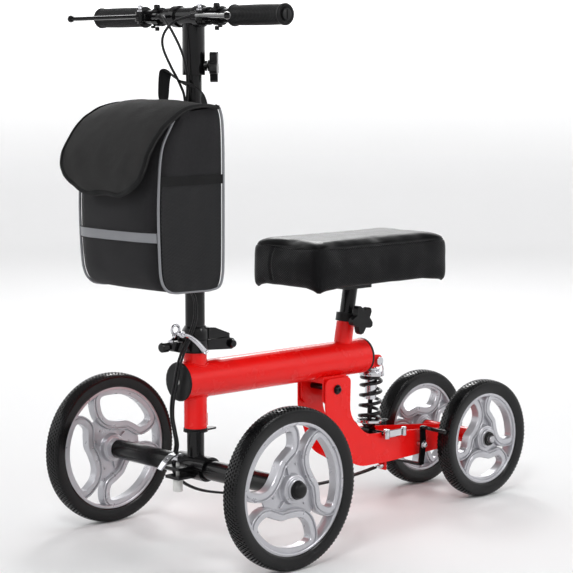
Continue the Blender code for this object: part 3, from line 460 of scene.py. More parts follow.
def settle(piece):
    """Turn a piece's modifiers into its mesh."""
    evaluated = piece.evaluated_get(bpy.context.evaluated_depsgraph_get())
    made = bpy.data.meshes.new_from_object(evaluated)
    piece.modifiers.clear()
    piece.data = made


SAME_POINT = 0.000004  # metres between points that are one
FLAT_ANGLE, CORNER_ANGLE = math.radians(0.5), math.radians(32)


def refine(node, look, edge):
    """A CAD node's own shape with its facets merged and its edges rounded, edge in millimetres."""
    bm = bmesh.new()
    bm.from_mesh(frame["nodes"][node].data)
    bmesh.ops.remove_doubles(bm, verts=bm.verts, dist=SAME_POINT)
    bmesh.ops.dissolve_limit(bm, angle_limit=FLAT_ANGLE, verts=bm.verts, edges=bm.edges)
    mesh = to_mesh(node + "_fine", bm)
    mesh.materials.append(LOOKS[look].material)
    mesh.shade_smooth()
    piece = add_piece(node + "_fine", mesh, BODY_OF[node], look, node)
    given(piece.modifiers.new("rounding", "BEVEL"), width=edge * MM, segments=2, angle_limit=CORNER_ANGLE,
          miter_outer="MITER_ARC")
    given(piece.modifiers.new("normals", "WEIGHTED_NORMAL"), keep_sharp=True)


# ---- wheels

RIM_EDGE = {"front": 105.7, "rear": 83.0}  # radius
RIM_TURN = {"front_wheel_left": 0, "front_wheel_right": 53,
            "rear_wheel_left": -12, "rear_wheel_right": 51}  # degrees
TREAD_BLOCKS = {"front": 116, "rear": 92}  # in each row
TYRE_HALF = 15.0  # half the width
TREAD_DEPTH = 5.0  # the tread's faces are this near the outer radius
BLOCK_EDGES = (-12.2, -7.5, -2.5, 2.5, 7.5, 12.2)
BLOCK_HEIGHT, BLOCK_GAP = 1.3, 0.35
# One half of the section of the band round an opening: (distance from the opening, x)
BAND_HALF = [(0, 7.2), (0.9, 8.4), (8.0, 8.6), (9.0, 8.0), (9.5, 6.0), (11.1, 6.0), (11.6, 8.0), (12.2, 8.9),
             (13.3, 8.9), (14.1, 8.0), (14.6, 3.4)]
# Outline of an opening: (degrees, share of the face's radius)
BEAN = [(92, 0.83), (98, 0.885), (113, 0.885), (128, 0.885), (143, 0.885), (158, 0.885), (173, 0.885),
        (177, 0.70), (175, 0.56), (164, 0.46), (141, 0.44), (121, 0.51), (103, 0.57), (92, 0.65)]


THIRDS = (0, 120, 240)  # degrees


def tyre_mesh(edge, outer, blocks):
    """A tyre about X: smooth sidewalls, rounded shoulders and five rows of staggered tread blocks."""
    depth = outer - edge
    side = [(edge - 2.4, 11.4), (edge - 1.2, 12.5), (edge + 1.0, 13.1), (edge + depth * 0.25, 14.1),
            (edge + depth * 0.5, 14.95), (edge + depth * 0.64, 14.9), (edge + depth * 0.76, 14.5),
            (edge + depth * 0.83, 13.8)]
    tread = [(outer - BLOCK_HEIGHT - 0.1 - 0.011 * x * x, x) for x in reversed(BLOCK_EDGES)]
    profile = side + tread + [(r, -x) for r, x in reversed(side)]
    count = 2 * blocks
    bm = skin([[(x, y, z) for y, z in circle(r, count)] for r, x in profile], closed=True)
    raised = []
    for face in bm.faces:
        middle = face.calc_center_median()
        row = sum(middle.x > x for x in BLOCK_EDGES)
        step = int((math.atan2(middle.z, middle.y) / (2 * math.pi) % 1.0) * count)
        on_tread = math.hypot(middle.y, middle.z) > outer - TREAD_DEPTH
        if on_tread and (step + row) % 2 == 0:
            raised.append(face)
    bmesh.ops.inset_individual(bm, faces=raised, thickness=BLOCK_GAP)
    for vert in {vert for face in raised for vert in face.verts}:
        radius = math.hypot(vert.co.y, vert.co.z)
        vert.co.x = clamp(vert.co.x, 0.1 - TYRE_HALF, TYRE_HALF - 0.1)
        vert.co.y *= (radius + BLOCK_HEIGHT) / radius
        vert.co.z *= (radius + BLOCK_HEIGHT) / radius
    return bm


def bean_path(face_radius, mirrored, turn, grow=0.0):
    """One swirled opening as a smooth closed path at x 0, anticlockwise, grown outward by grow."""
    knots = []
    for angle, share in BEAN:
        theta = math.radians((180 - angle if mirrored else angle) + turn)
        knots.append((0, face_radius * share * math.cos(theta), face_radius * share * math.sin(theta)))
    if mirrored:
        knots.reverse()
    path = smooth_path(knots, 5, closed=True)
    if grow:
        ahead = [path[(i + 1) % len(path)] - path[i - 1] for i in range(len(path))]
        path = [p + a.cross(Vector((1, 0, 0))).normalized() * grow for p, a in zip(path, ahead)]
    return path


def slab(path, low, high):
    """A prism along X over a closed path."""
    return skin([[(low, p.y, p.z) for p in path], [(high, p.y, p.z) for p in path]], caps=True)


def rim_mesh(kind):
    """A cast rim about X: barrel, hub and three swirled openings framed by a grooved band."""
    edge, mirrored = RIM_EDGE[kind], kind == "rear"
    lip = [(edge - 0.7, 10.4), (edge - 2.7, 11.3), (edge - 5.4, 11.7), (edge - 6.6, 11.1), (edge - 7.6, 8.4),
           (edge - 7.8, 2.0)]
    barrel = moved(lathe(both_ways(lip), 120, closed=True), along_x())
    hub = [(11.4, 16.0), (15.4, 16.6), (16.6, 16.0), (17.2, 12.4), (18.6, 11.8), (20.8, 12.2), (22.4, 11.4),
           (22.9, 9.6), (23.3, 3.0), (24.6, 1.8), (edge * 0.56, 1.6)]
    hub = moved(lathe(both_ways(hub), 72, closed=True), along_x())
    bands = []
    for turn in THIRDS:
        theta = math.radians((105 if mirrored else 75) + turn)
        pip = rod(1.9, -3.6, 3.6, 0.6, 16)
        bands.append(moved(pip, Matrix.Rotation(theta, 4, "X") @ along_x(0, edge * 0.36, 0)))
        rib = slab([Vector((0, 21, -1.1)), Vector((0, edge * 0.34, -1.1)), Vector((0, edge * 0.34, 1.1)),
                    Vector((0, 21, 1.1))], -5.5, 5.5)
        bands.append(moved(rib, Matrix.Rotation(theta + 0.55, 4, "X")))
    for turn in THIRDS:
        hub = cut(hub, slab(bean_path(edge * 0.97, mirrored, turn, 5), -30, 30))
        opening = bean_path(edge * 0.97, mirrored, turn)
        bands.append(sweep(opening, both_ways(BAND_HALF), up=(1, 0, 0), closed=True))
    return join(barrel, hub, *bands)


def wheels():
    """One tyre and one rim for each size, copied to both sides and turned as in RIM_TURN."""
    for kind, blocks in TREAD_BLOCKS.items():
        low, high = low_high(f"{kind}_wheel_left_tyre")
        outer = (high.z - low.z) / 2
        tyre = mesh_of(kind + "_tyre", tyre_mesh(RIM_EDGE[kind], outer, blocks), 32)
        parts = (("tyre", "tyre", "rubber", tyre),
                 ("rim", "silver_plastic", "silver_plastic", mesh_of(kind + "_rim", rim_mesh(kind), 32)))
        for _, look, _, mesh in parts:
            mesh.transform(Matrix.Scale(MM, 4))
            mesh.materials.append(LOOKS[look].material)
        for _, side, _ in SIDES:
            body = f"{kind}_wheel_{side}"
            centre = Vector(JOINTS[body + "_roll"]["pos_m"])
            turned = Matrix.Translation(centre) @ Matrix.Rotation(math.radians(RIM_TURN[body]), 4, "X")
            for part, look, slot, mesh in parts:
                placed = mesh.copy()
                placed.transform(turned)
                add_piece(f"{body}_{part}_detail", placed, body, look, f"{body}_{part}", slot=slot)


def hub_ends():
    """Dome caps and inner collars on the front hubs, dark washers under the rear axle's bolt heads."""
    for _, side, flip in SIDES:
        body = f"front_wheel_{side}"
        place = at(*pivot(body + "_roll")) @ flip @ along_x()
        dome = [(0, 16.6), (14.3, 16.6), (14.9, 17.4), (14.4, 18.5), (13.6, 19.0), (13.2, 21.5), (12.0, 24.6),
                (9.6, 26.9), (6.0, 28.0), (0, 28.3)]
        add_piece(body + "_dome", moved(lathe(dome, 48), place), body, "black_plastic", body + "_cap")
        collar = [(13.4, -16.8), (16.4, -16.8), (17.0, -17.6), (16.4, -22.0), (13.4, -22.0)]
        add_piece(body + "_collar", moved(lathe(collar, 48, closed=True), place), body, "silver_plastic")
        washer = [(6.1, 92.7), (11.6, 92.7), (12.3, 93.6), (11.6, 95.9), (6.7, 95.9)]
        _, y, z = pivot("rear_wheel_left_roll")
        washer = moved(lathe(washer, 40, closed=True), at(0, y, z) @ flip @ along_x())
        add_piece(f"rear_washer_{side}", washer, "swingarm", "black_plastic")


# ---- cushion

SEAM_BELOW_TOP = 11.0
TOP_SEAM, FRONT_SEAM = (2.2, 1.7), (1.8, 1.9)  # depth and half width of the groove
FRONT_SEAM_X = -0.34  # as a share of half the cushion's width
PAD_VOXEL = 5  # mesh size of the pad before it is inflated
PUFF_LIMIT = 5.0  # how far a point may move while it is inflated
PUFF_FOOT = 30  # the swelling fades out over this height above the bottom
CORNER_FROM, CORNER_DROP = 0.55, 9  # share of the way out to a corner, and how far the corner droops
DROOP_BELOW = 0.75  # as a share of the height
SEAMS_BETWEEN = (0.12, 0.96)  # shares of the height
FRONT_BAND = 14  # the front seam lies within this of the front
PUFF_PRESSURE, PUFF_FRAMES = 4.0, 20


def pad_box():
    """Lowest and highest corner of the seat cushion, the middle of its length, half its width and length."""
    low, high = low_high("seat_cushion")
    return low, high, (low.y + high.y) / 2, (high.x - low.x) / 2, (high.y - low.y) / 2


def rounded_ring(half_x, half_y, corner, z, centre_y, steps=7):
    """A rectangle with rounded corners at one height, as points in order."""
    points = []
    for sx, sy, start in ((1, 1, 0), (-1, 1, 90), (-1, -1, 180), (1, -1, 270)):
        for step in range(steps):
            a = math.radians(start + 90 * step / (steps - 1))
            points.append((sx * (half_x - corner) + corner * math.cos(a),
                           centre_y + sy * (half_y - corner) + corner * math.sin(a), z))
    return points


def inflate(piece):
    """Cloth pressure swells the pad a little, each point by no more than PUFF_LIMIT."""
    start = [v.co.copy() for v in piece.data.vertices]
    cloth = piece.modifiers.new("cloth", "CLOTH")
    given(cloth.settings, use_pressure=True, uniform_pressure_force=PUFF_PRESSURE)
    cloth.settings.effector_weights.gravity = 0.0
    for number in range(PUFF_FRAMES):
        bpy.context.scene.frame_set(number + 1)
    evaluated = piece.evaluated_get(bpy.context.evaluated_depsgraph_get())
    swollen = [v.co.copy() for v in evaluated.data.vertices]
    piece.modifiers.remove(cloth)
    bpy.context.scene.frame_set(1)
    low = min(point.z for point in start)
    for vert, old, new in zip(piece.data.vertices, start, swollen):
        step = new - old
        if step.length > PUFF_LIMIT * MM:
            step *= PUFF_LIMIT * MM / step.length
        vert.co = old + step * clamp((old.z - low) / (PUFF_FOOT * MM))
    given(piece.modifiers.new("calm", "SMOOTH"), factor=0.5, iterations=14)
    settle(piece)


def groove(distance, seam):
    """How far a seam (depth, half width) pulls the cover in, at a distance in metres from its line."""
    depth, half_width = seam
    return depth * math.exp(-(distance / (half_width * MM)) ** 2)


def sew(piece):
    """Pull the corners down and the two seams in."""
    low, high, middle_y, half_x, half_y = pad_box()
    edge_z = (high.z - SEAM_BELOW_TOP) * MM
    front = middle_y - half_y + AXLE_Y
    for vert in piece.data.vertices:
        x, y, z = vert.co
        across, along = abs(x) / MM / half_x, abs(y / MM - AXLE_Y - middle_y) / half_y
        corner = max(0.0, across * along - CORNER_FROM) / 0.45
        lift = (z / MM - low.z) / (high.z - low.z)
        if lift < DROOP_BELOW:
            vert.co.z -= CORNER_DROP * MM * corner * (1 - lift / DROOP_BELOW)
        sink = groove(z - edge_z, TOP_SEAM)
        at_front = y / MM < front + FRONT_BAND
        if at_front and abs(x) < half_x * MM and z < edge_z:
            sink = max(sink, groove(x - half_x * FRONT_SEAM_X * MM, FRONT_SEAM))
        if sink > 0.05 and SEAMS_BETWEEN[0] < lift < SEAMS_BETWEEN[1]:
            out = Vector((x, y - (AXLE_Y + middle_y) * MM, 0))
            out.x, out.y = out.x * half_y, out.y * half_x
            vert.co -= out.normalized() * sink * MM


def cushion():
    """A padded block, puffed by simulation, then sewn: a seam round the top and one down the front."""
    low, high, middle_y, half_x, half_y = pad_box()
    base, top = low.z, high.z
    # From the middle of the underside round to the top: inset, height, corner radius
    layers = [(9, base + 12, 14), (14, base + 11, 12), (12, base + 2, 12), (7, base - 0.5, 14),
              (1.5, base + 1.5, 16), (0, base + 20, 16), (-0.5, top - 26, 16), (0.5, top - 16, 17),
              (4, top - 9.5, 18), (11, top - 6, 20), (26, top - 4, 18)]
    rings = [rounded_ring(half_x - inset, half_y - inset, corner, z, middle_y) for inset, z, corner in layers]
    rings = [rounded_ring(20, half_y - 60, 6, base + 12, middle_y)] + rings
    rings.append(rounded_ring(20, half_y - 60, 6, top - 2.5, middle_y))
    bm = moved(skin(rings, caps=True), TO_FRAME)
    piece = add_piece("cushion", mesh_of("cushion", bm, 180), "seat", "black_vinyl", "seat_cushion")
    given(piece.modifiers.new("remesh", "REMESH"), mode="VOXEL", voxel_size=PAD_VOXEL * MM)
    settle(piece)
    inflate(piece)
    given(piece.modifiers.new("finer", "SUBSURF"), levels=1, render_levels=1)
    settle(piece)
    sew(piece)
    wrinkle(piece, 0.5, 45)
    keep_near(piece, low, high)
    piece.data.shade_smooth()
    shell = BVHTree.FromObject(piece, bpy.context.evaluated_depsgraph_get())
    stitches = []
    for x, y, _ in rounded_ring(half_x + 8, half_y + 8, 30, 0, middle_y, 16):
        outside = metres((x, y, top - SEAM_BELOW_TOP))
        inward = metres((0, middle_y + (y - middle_y) * 0.6, top - SEAM_BELOW_TOP)) - outside
        hit = shell.ray_cast(outside, inward.normalized())[0]
        if hit:
            stitches.append(TO_FRAME.inverted() @ hit)
    thread = sweep(stitches, circle(1.0, 6), closed=True)
    add_piece("cushion_piping", thread, "seat", "binding")


def wrinkle(piece, depth, per_metre):
    """Soft unevenness along the surface, the same on each run."""
    normals = [v.normal.copy() for v in piece.data.vertices]
    for vert, normal in zip(piece.data.vertices, normals):
        vert.co += normal * depth * MM * noise.noise(vert.co * per_metre)


def keep_near(piece, low, high):
    """Keep a padded piece to its CAD box, 3 mm more at the sides, 10 mm below and 1 mm above."""
    low, high = metres(low), metres(high)
    for vert in piece.data.vertices:
        for axis, (below, above) in enumerate(((3, 3), (3, 3), (10, 1))):
            vert.co[axis] = clamp(vert.co[axis], low[axis] - below * MM, high[axis] + above * MM)


# ---- bag

# From the floor up: (y, z) of the front and of the rear edge, bulge of the front, half the width
BAG_FRONT = [(-112, 425), (-133, 430), (-146, 446), (-151, 480),
             (-153, 560), (-147, 638), (-129, 676), (-113, 698)]
BAG_BACK = [(-46, 424), (-30, 429), (-24.5, 446), (-24, 480),
            (-24, 560), (-24, 640), (-26, 685), (-31, 705.5)]
BAG_BULGE = [3, 7, 10, 12, 13, 11, 6, 2]
BAG_HALF = [90, 94, 96, 97.5, 98, 98, 98, 97]
BAG_WALL = 2.5
STRIP_EDGES, POCKET_TOP, HEM_TOP, STRAP_HEIGHTS = (503, 519), 590, 602, (470, 610)  # z
BAG_LINES = [smooth_path([(x, y, 0) for x, y in line], 8)
             for line in (BAG_FRONT, BAG_BACK, list(zip(BAG_BULGE, BAG_HALF)))]


def bag_level(share):
    """Front edge, rear edge, bulge and half width at a share of the bag's height."""
    front, back, width = (sample(line, share)[0] for line in BAG_LINES)
    return front.xy, back.xy, width.x, width.y


def share_at(height):
    """The share of the bag's height where its front edge is at that z."""
    i = max(k for k in range(len(BAG_FRONT) - 1) if BAG_FRONT[k][1] <= height)
    low, high = 0.0, 1.0
    for _ in range(24):
        middle = (low + high) / 2
        if bag_level((i + middle) / (len(BAG_FRONT) - 1))[0][1] < height:
            low = middle
        else:
            high = middle
    return (i + low) / (len(BAG_FRONT) - 1)


def crease(spot, depth):
    """Slack cloth: a few slanting folds, the same on each run."""
    slanted = Vector((spot.x * 0.018 + spot.z * 0.012, spot.y * 0.018, spot.z * 0.02 - spot.x * 0.008))
    fine = Vector((spot.x * 0.05 - spot.z * 0.03, spot.y * 0.05, spot.z * 0.045))
    return depth * (noise.noise(slanted) + 0.45 * noise.noise(fine))


def bag_front(across, share, out=0.0):
    """A point of the bag's front: across runs from -1 (right) to 1 (left)."""
    front, _, bulge, half = bag_level(share)
    spot = Vector((across * (half - 1.5), front[0] - bulge * (1 - across ** 4), front[1]))
    spot.y -= out + crease(spot, 2.6) * (1 - across ** 6)
    return spot


def bag_side(sign, depth, share, out=0.0):
    """A point of the bag's side: depth runs from 0 at the front to 1 at the rear."""
    front, back, _, half = bag_level(share)
    spot = front.lerp(back, depth)
    hold = math.sin(math.pi * clamp(depth))
    made = Vector((sign * (half - 1.5 * hold), spot[0], spot[1]))
    made.x += sign * (out + crease(made, 2.4) * hold - 1.0)
    return made


def bag_ring(share, inset):
    """The bag's outline at a share of its height, moved inward by inset."""
    _, back, _, half = bag_level(share)
    points = [bag_front(u / 8, share, -inset) for u in range(-7, 8)]
    points += [bag_side(1, v / 8, share, -inset) for v in range(1, 8)]
    points += [Vector((u / 4 * (half - 6), back[0] - inset, back[1])) for u in range(4, -5, -1)]
    points += [bag_side(-1, v / 8, share, -inset) for v in range(7, 0, -1)]
    for point in points:
        point.x = clamp(point.x, -half + inset, half - inset)
    return points


def patch(surface, across, up, front, back=-0.6):
    """A closed thin panel: surface(u, v, out) over two lists of shares, at a front and a back level."""
    return skin([[surface(u, v, front) for u in across] + [surface(u, v, back) for u in reversed(across)]
                 for v in up], caps=True)


def spread(low, high, count):
    """From low to high in that many even steps."""
    return [low + (high - low) * i / count for i in range(count + 1)]


def bag():
    """A sewn shell with piping at its edges, mesh side pockets, a grey strip, two straps and a handle."""
    shares = spread(0, 1, 56)
    rings = [bag_ring(share, 0) for share in shares]
    rings += [bag_ring(share, BAG_WALL) for share in reversed(shares)]
    floor = [p + Vector((0, 0, BAG_WALL)) for p in bag_ring(0, BAG_WALL * 2)]
    shell = skin(rings + [floor], caps=True)
    add_piece("bag_shell", shell, "mast", "black_fabric", "bag_body", smooth_angle=50)
    pipe = circle(2.1, 8)
    for sign, side, _ in SIDES:
        edge = [bag_front(sign, s) for s in spread(0.97, 0.04, 50)]
        edge += [bag_side(sign, v, 0.0) for v in spread(0.0, 1.0, 12)]
        edge += [bag_side(sign, 1.0, s) for s in spread(0.04, 1.0, 50)]
        knots = [edge[0]] + [p for i, p in enumerate(edge[1:]) if (p - edge[i]).length > 1.0]
        knots = smooth_path([(k + l) / 2 for k, l in zip(knots, knots[1:])], 2)
        add_piece(f"bag_piping_{side}", sweep(knots, pipe, up=(1, 0, 0)), "mast", "reflective_grey")
        top = share_at(POCKET_TOP)
        pocket = patch(lambda u, v, out: bag_side(sign, u, v, out), spread(0.04, 0.96, 16),
                       spread(0.03, top, 30), 0.6)
        add_piece(f"bag_pocket_{side}", pocket, "mast", "mesh_pocket")
        hem = patch(lambda u, v, out: bag_side(sign, u, v, out + 0.5), spread(0.02, 0.98, 16),
                    spread(top - 0.003, share_at(HEM_TOP), 3), 1.2)
        add_piece(f"bag_pocket_hem_{side}", hem, "mast", "binding")
    across = spread(-0.97, 0.97, 40)
    low, high = (share_at(z) for z in STRIP_EDGES)
    strip = patch(bag_front, across, spread(low, high, 3), 0.5)
    add_piece("bag_strip", strip, "mast", "reflective_grey")
    for name, share in (("low", low), ("high", high)):
        line = [bag_front(u, share, 0.4) for u in across]
        add_piece(f"bag_strip_stitch_{name}", sweep(line, circle(0.8, 6)), "mast", "black_fabric")
    half = [(-14, -23.6), (-17.3, -12), (-17.6, 0), (-12.6, 12.6)]
    for height, name in zip(STRAP_HEIGHTS, ("low", "high")):
        loop = [(x, y, height) for x, y in half + [(0, 17.6)] + [(-x, y) for x, y in reversed(half)]]
        band = sweep(smooth_path(loop, 5), [(t, w) for w, t in strap_section(24, 1.6)])
        add_piece(f"bag_strap_{name}", band, "mast", "webbing")
    handle = smooth_path([(-47, -22, 700), (-46, -24, 722), (-33, -30, 757), (-18, -27, 752), (0, -24, 742),
                          (22, -24, 738), (44, -23, 728), (52, -20, 700)], 6)
    add_piece("bag_handle", sweep(handle, strap_section(20, 1.8), up=(0, 0.5, 1)), "mast", "webbing")


FLAP_HALF, FLAP_WIDEST = 108, 0.66  # greatest half width, and its share of the length
SIDE_DROOP, HINGE_DROOP = 7, 3.5  # how far the side edges hang: over the middle, and from the hinge on
# (y, z) from the hinge over the top and down the front
FLAP_LINE = [(-34.5, 707.5), (-43, 710.5), (-68, 715), (-94, 714), (-116, 708), (-137, 696), (-155, 680),
             (-170, 659), (-180, 640), (-185, 622), (-187, 606), (-185.5, 590), (-181, 574)]
FLAP_CURVE = smooth_path([(0, y, z) for y, z in FLAP_LINE], 6)


def flap_half(share):
    """Half width of the flap along its length: full over the top, rounded off below."""
    if share < FLAP_WIDEST:
        return FLAP_HALF - 7 * (1 - share / FLAP_WIDEST) ** 2
    return FLAP_HALF * math.sqrt(1 - ((share - FLAP_WIDEST) / 0.34 * 0.985) ** 2.3)


def flap_spot(across, share, out=0.0):
    """A point of the flap: across runs from -1 to 1, share from the hinge to the lower edge."""
    point, ahead = sample(FLAP_CURVE, share)
    normal = Vector((0, ahead.z, -ahead.y)).normalized()
    half = flap_half(share)
    edge = abs(across) ** 3
    droop = edge * (SIDE_DROOP * math.sin(math.pi * min(1, share * 1.5)) + HINGE_DROOP * min(1, share * 14))
    spot = Vector((across * half, point.y, point.z))
    spot += normal * (out + crease(spot * 1.2, 2.4) * (0.4 + 0.6 * share))
    return spot + Vector((0, 0.35, -0.94)) * droop


def flap():
    """The lid: one bound sheet that lies over the mouth and hangs down the front."""
    lid = patch(flap_spot, spread(-1, 1, 36), spread(0, 1, 44), 0.8, -0.8)
    area = sum(face.calc_area() for face in lid.faces) / 2 * MM * MM
    piece = add_piece("bag_lid", lid, "bag_flap", "flap_fabric", "bag_flap", slot="black_fabric",
                      smooth_angle=60)
    border = [(1.0, s) for s in spread(0.02, 0.98, 60)] + [(u, 1.0) for u in spread(1, -1, 36)]
    border += [(-1.0, s) for s in spread(0.98, 0.02, 60)]
    inset = [flap_spot(across * (1 - 3.6 / max(12, flap_half(share))), min(share, 0.985), 0.2)
             for across, share in border]
    path = [p for i, p in enumerate(inset) if i == 0 or (p - inset[i - 1]).length > 0.8]
    middle = Vector((0, -60, 600))
    bound = sweep(path, strap_section(9.0, 3.6), up=lambda p: p - middle)
    edge = add_piece("bag_lid_binding", bound, "bag_flap", "binding", smooth_angle=60)


# ---- cables and shock

CABLE_RADIUS, CABLE_APART = 2.1, 2.4  # each housing runs that far beside the shared line
CABLE_LEVER = (45.4, -33, 844.6)  # where the left one leaves its lever
CABLE_STEPS = 6  # points of the path from knot to knot
CABLE_STARTS = {
    "left": [(45.4, -33, 844.6), (38, -34, 844.4), (28, -41, 842), (12, -53, 834), (-1, -60, 816),
             (-5, -58, 796), (-4, -44, 768), (-1, -28, 740)],
    "right": [(-45.4, -33, 844.6), (-38, -34, 844.8), (-30, -37, 844.5), (-17, -43, 838), (2, -46, 822),
              (14, -40, 797), (16, -31, 772), (13, -23, 742)]}
CABLE_SHARED = [(4, -19.6, 712), (4, -19, 640), (4, -19.4, 560), (4, -19.4, 470), (9, -19, 425),
                (19, -16, 400), (21, -17, 372), (21, -28, 345), (19, -42, 318), (12, -45, 296),
                (5, -45, 270), (-3, -45, 240), (-8, -42, 212), (-10, -35, 186), (-14, -28, 165),
                (-22, -25, 145), (-27, -24, 122), (-25, -8, 100), (-16, 20, 84), (-7, 60, 74),
                (-2, 120, 65), (0, 200, 59), (0, 270, 57.6), (0, 330, 58.5), (0, 380, 62.5),
                (0, 412, 66.6)]
# Each stretch: last knot, the bodies it joins, where it stops following the first and is on the second
CABLE_STRETCHES = [(10, "handlebar", "mast", (4, -40, 762), (4, -20, 690)),
                   (17, "mast", "steering", (20, -17, 385), (19, -42, 318)),
                   (28, "steering", "frame", (-14, -28, 168), (-4, 90, 70)),
                   (33, "frame", "swingarm", (0, 270, 57.6), (0, 395, 64))]


def cables():
    """Both housings, each swept in four stretches that end at the knots given in CABLE_STRETCHES."""
    for sign, name, _ in SIDES:
        route = [Vector(p) for p in CABLE_STARTS[name]]
        shared = [Vector(p) for p in CABLE_SHARED]
        for i, point in enumerate(shared):
            ahead = shared[min(i + 1, len(shared) - 1)] - shared[max(i - 1, 0)]
            route.append(point + ahead.cross(Vector((0, 1, 1))).normalized() * -sign * CABLE_APART)
        path = smooth_path(route, CABLE_STEPS)
        first = 0
        for last, before, after, start, end in CABLE_STRETCHES:
            stretch = path[first * CABLE_STEPS:last * CABLE_STEPS + 1]
            tube = sweep(stretch, circle(CABLE_RADIUS, 10), up=(0, 1, 1))
            nodes = ["brake_cable_" + name] if first == 0 else []
            piece = add_piece(f"cable_{name}_{after}", tube, None, "cable_jacket", *nodes,
                              slot="black_plastic")
            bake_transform(piece)
            first = last
        x, y, z = CABLE_LEVER
        barrel = [(0, -1.5), (3.4, -1.5), (4.1, -0.6), (4.1, 5.2), (3.3, 6.0), (3.3, 7.2), (4.0, 7.6),
                  (4.0, 10.4), (2.9, 11.4), (2.5, 16), (0, 16)]
        inward = Matrix.Rotation(math.pi if sign > 0 else 0, 4, "Z")
        barrel = moved(lathe(barrel, 24), at(sign * x, y, z) @ inward @ along_x())
        add_piece(f"cable_barrel_{name}", barrel, "handlebar", "black_plastic")


# The coil: heights of its ends on the shock's axis, radius, wire radius, turns and points per turn
COIL_LOW, COIL_HIGH, COIL_RADIUS, COIL_WIRE, COIL_TURNS, COIL_STEPS = -100.3, -30.6, 17.3, 3.1, 4.9, 36


def shock_place():
    """Matrix from the shock's own axis, down along -Z from its top bolt, to the scooter."""
    top, bottom = pivot("shock_tilt"), pivot("shock_lever_open")
    lean = math.atan2(-(bottom.y - top.y), -(bottom.z - top.z))
    return at(0, top.y, top.z) @ Matrix.Rotation(-lean, 4, "X")


def shock():
    """The coil with closed ends, its collar, lock ring and lower seat, and the bright loop at the collar."""
    place = shock_place()
    length = COIL_HIGH - COIL_LOW
    path = []
    for i in range(int(COIL_TURNS * COIL_STEPS) + 1):
        turn = 2 * math.pi * i / COIL_STEPS
        rise = clamp((i / COIL_STEPS - 0.5) / (COIL_TURNS - 1))
        path.append((COIL_RADIUS * math.cos(turn), COIL_RADIUS * math.sin(turn), COIL_LOW + length * rise))
    coil = add_piece("shock_coil", moved(sweep(path, circle(COIL_WIRE, 12)), place), "shock_body",
                     "black_paint", "shock_spring")
    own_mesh(coil)
    rings = (("collar", "shock_body", "chrome", 40, [
                 (9.8, -17.4), (15.2, -17.4), (20.6, -18.6), (21.6, -20.2), (21.6, -25.6), (20.8, -26.8),
                 (9.8, -26.8)]),
             ("lock_ring", "shock_body", "black_paint", 32, [
                 (10.7, -27.2), (14.9, -27.2), (15.2, -28.6), (15.2, -33), (10.7, -33.5)]),
             ("lower_seat", "shock_rod", "chrome", 40, [
                 (13.2, -104.0), (20.6, -104.0), (21.5, -105.0), (21.5, -108.6), (20.6, -109.6),
                 (13.2, -109.6)]))
    for name, body, look, segments, profile in rings:
        add_piece("shock_" + name, moved(lathe(profile, segments, closed=True), place), body, look)
    loop = [(12, 0, -8), (16, 2, -3), (20.5, 4, -6), (22.5, 5, -14), (21.5, 4, -22), (16, 2, -24)]
    loop = moved(sweep(smooth_path(loop, 6), circle(1.2, 8), up=(0, 1, 0)), place)
    add_piece("shock_wire_loop", loop, "shock_body", "chrome")


# ---- frame, controls and fittings

def hexagon(across_flats, low, high, edge=0.7):
    """A bolt head about Z with chamfered corners."""
    radius = across_flats / math.sqrt(3)
    levels = [(radius - edge, low), (radius, low + edge * 0.6),
              (radius, high - edge * 0.6), (radius - edge, high)]
    return skin([[(x, y, z) for x, y in circle(r, 6)] for r, z in levels], caps=True)


def socket_screw(radius, low, high):
    """A cap screw's head about Z with a hex recess in its top."""
    head = rod(radius, low, high, 0.7, 24)
    return cut(head, hexagon(radius * 0.95, high - (high - low) * 0.55, high + 2, 0.05))


def weld(path, radius=1.7):
    """A bead with fine ripples along a closed path."""
    def ripple(t):
        return 1.0 + 0.13 * math.sin(t * len(path) * 1.6) + 0.1 * noise.noise(Vector((t * 30, 0, 0)))
    return sweep(path, circle(radius, 8), closed=True, up=(0, 0.3, 1), scale=ripple)


def crossing(radius, y, tube_radius, tube_z, top):
    """Where an upright tube at y leaves the main tube, as a closed path."""
    path = []
    for x, along in circle(radius, 72):
        rise = math.sqrt(max(0.0, tube_radius ** 2 - x * x))
        path.append((x, y + along, tube_z + (rise if top else -rise)))
    return path


MAIN_TUBE_Z, MAIN_TUBE_RADIUS, HEAD_WELD_RADIUS = 269.0, 30.0, 19.3


def frame_details():
    """Weld beads at the head tube, the front cap's boss and the washers of the shock's top bolt."""
    beads = [weld(crossing(HEAD_WELD_RADIUS, 0, MAIN_TUBE_RADIUS, MAIN_TUBE_Z, top)) for top in (True, False)]
    add_piece("head_tube_welds", join(*beads), "frame", "red_paint")
    low, _ = low_high("front_end_cap")
    boss = [(0, -2.2), (3.2, -2.0), (4.6, -1.0), (5.2, 0.8), (5.2, 2), (0, 2)]
    boss = moved(lathe(boss, 32), at(0, low.y + 1.0, MAIN_TUBE_Z) @ along_y())
    add_piece("front_cap_boss", boss, "frame", "white_plastic")
    top_bolt = pivot("shock_tilt")
    face = low_high("shock_top_bolt")[1].x - 7.5
    for _, side, flip in SIDES:
        washer = lathe([(4.4, 0), (8.6, 0), (9.0, 0.5), (8.6, 1.2), (4.4, 1.2)], 32, closed=True)
        washer = moved(washer, at(0, top_bolt.y, top_bolt.z) @ flip @ along_x(face))
        add_piece(f"shock_top_washer_{side}", washer, "frame", "chrome")


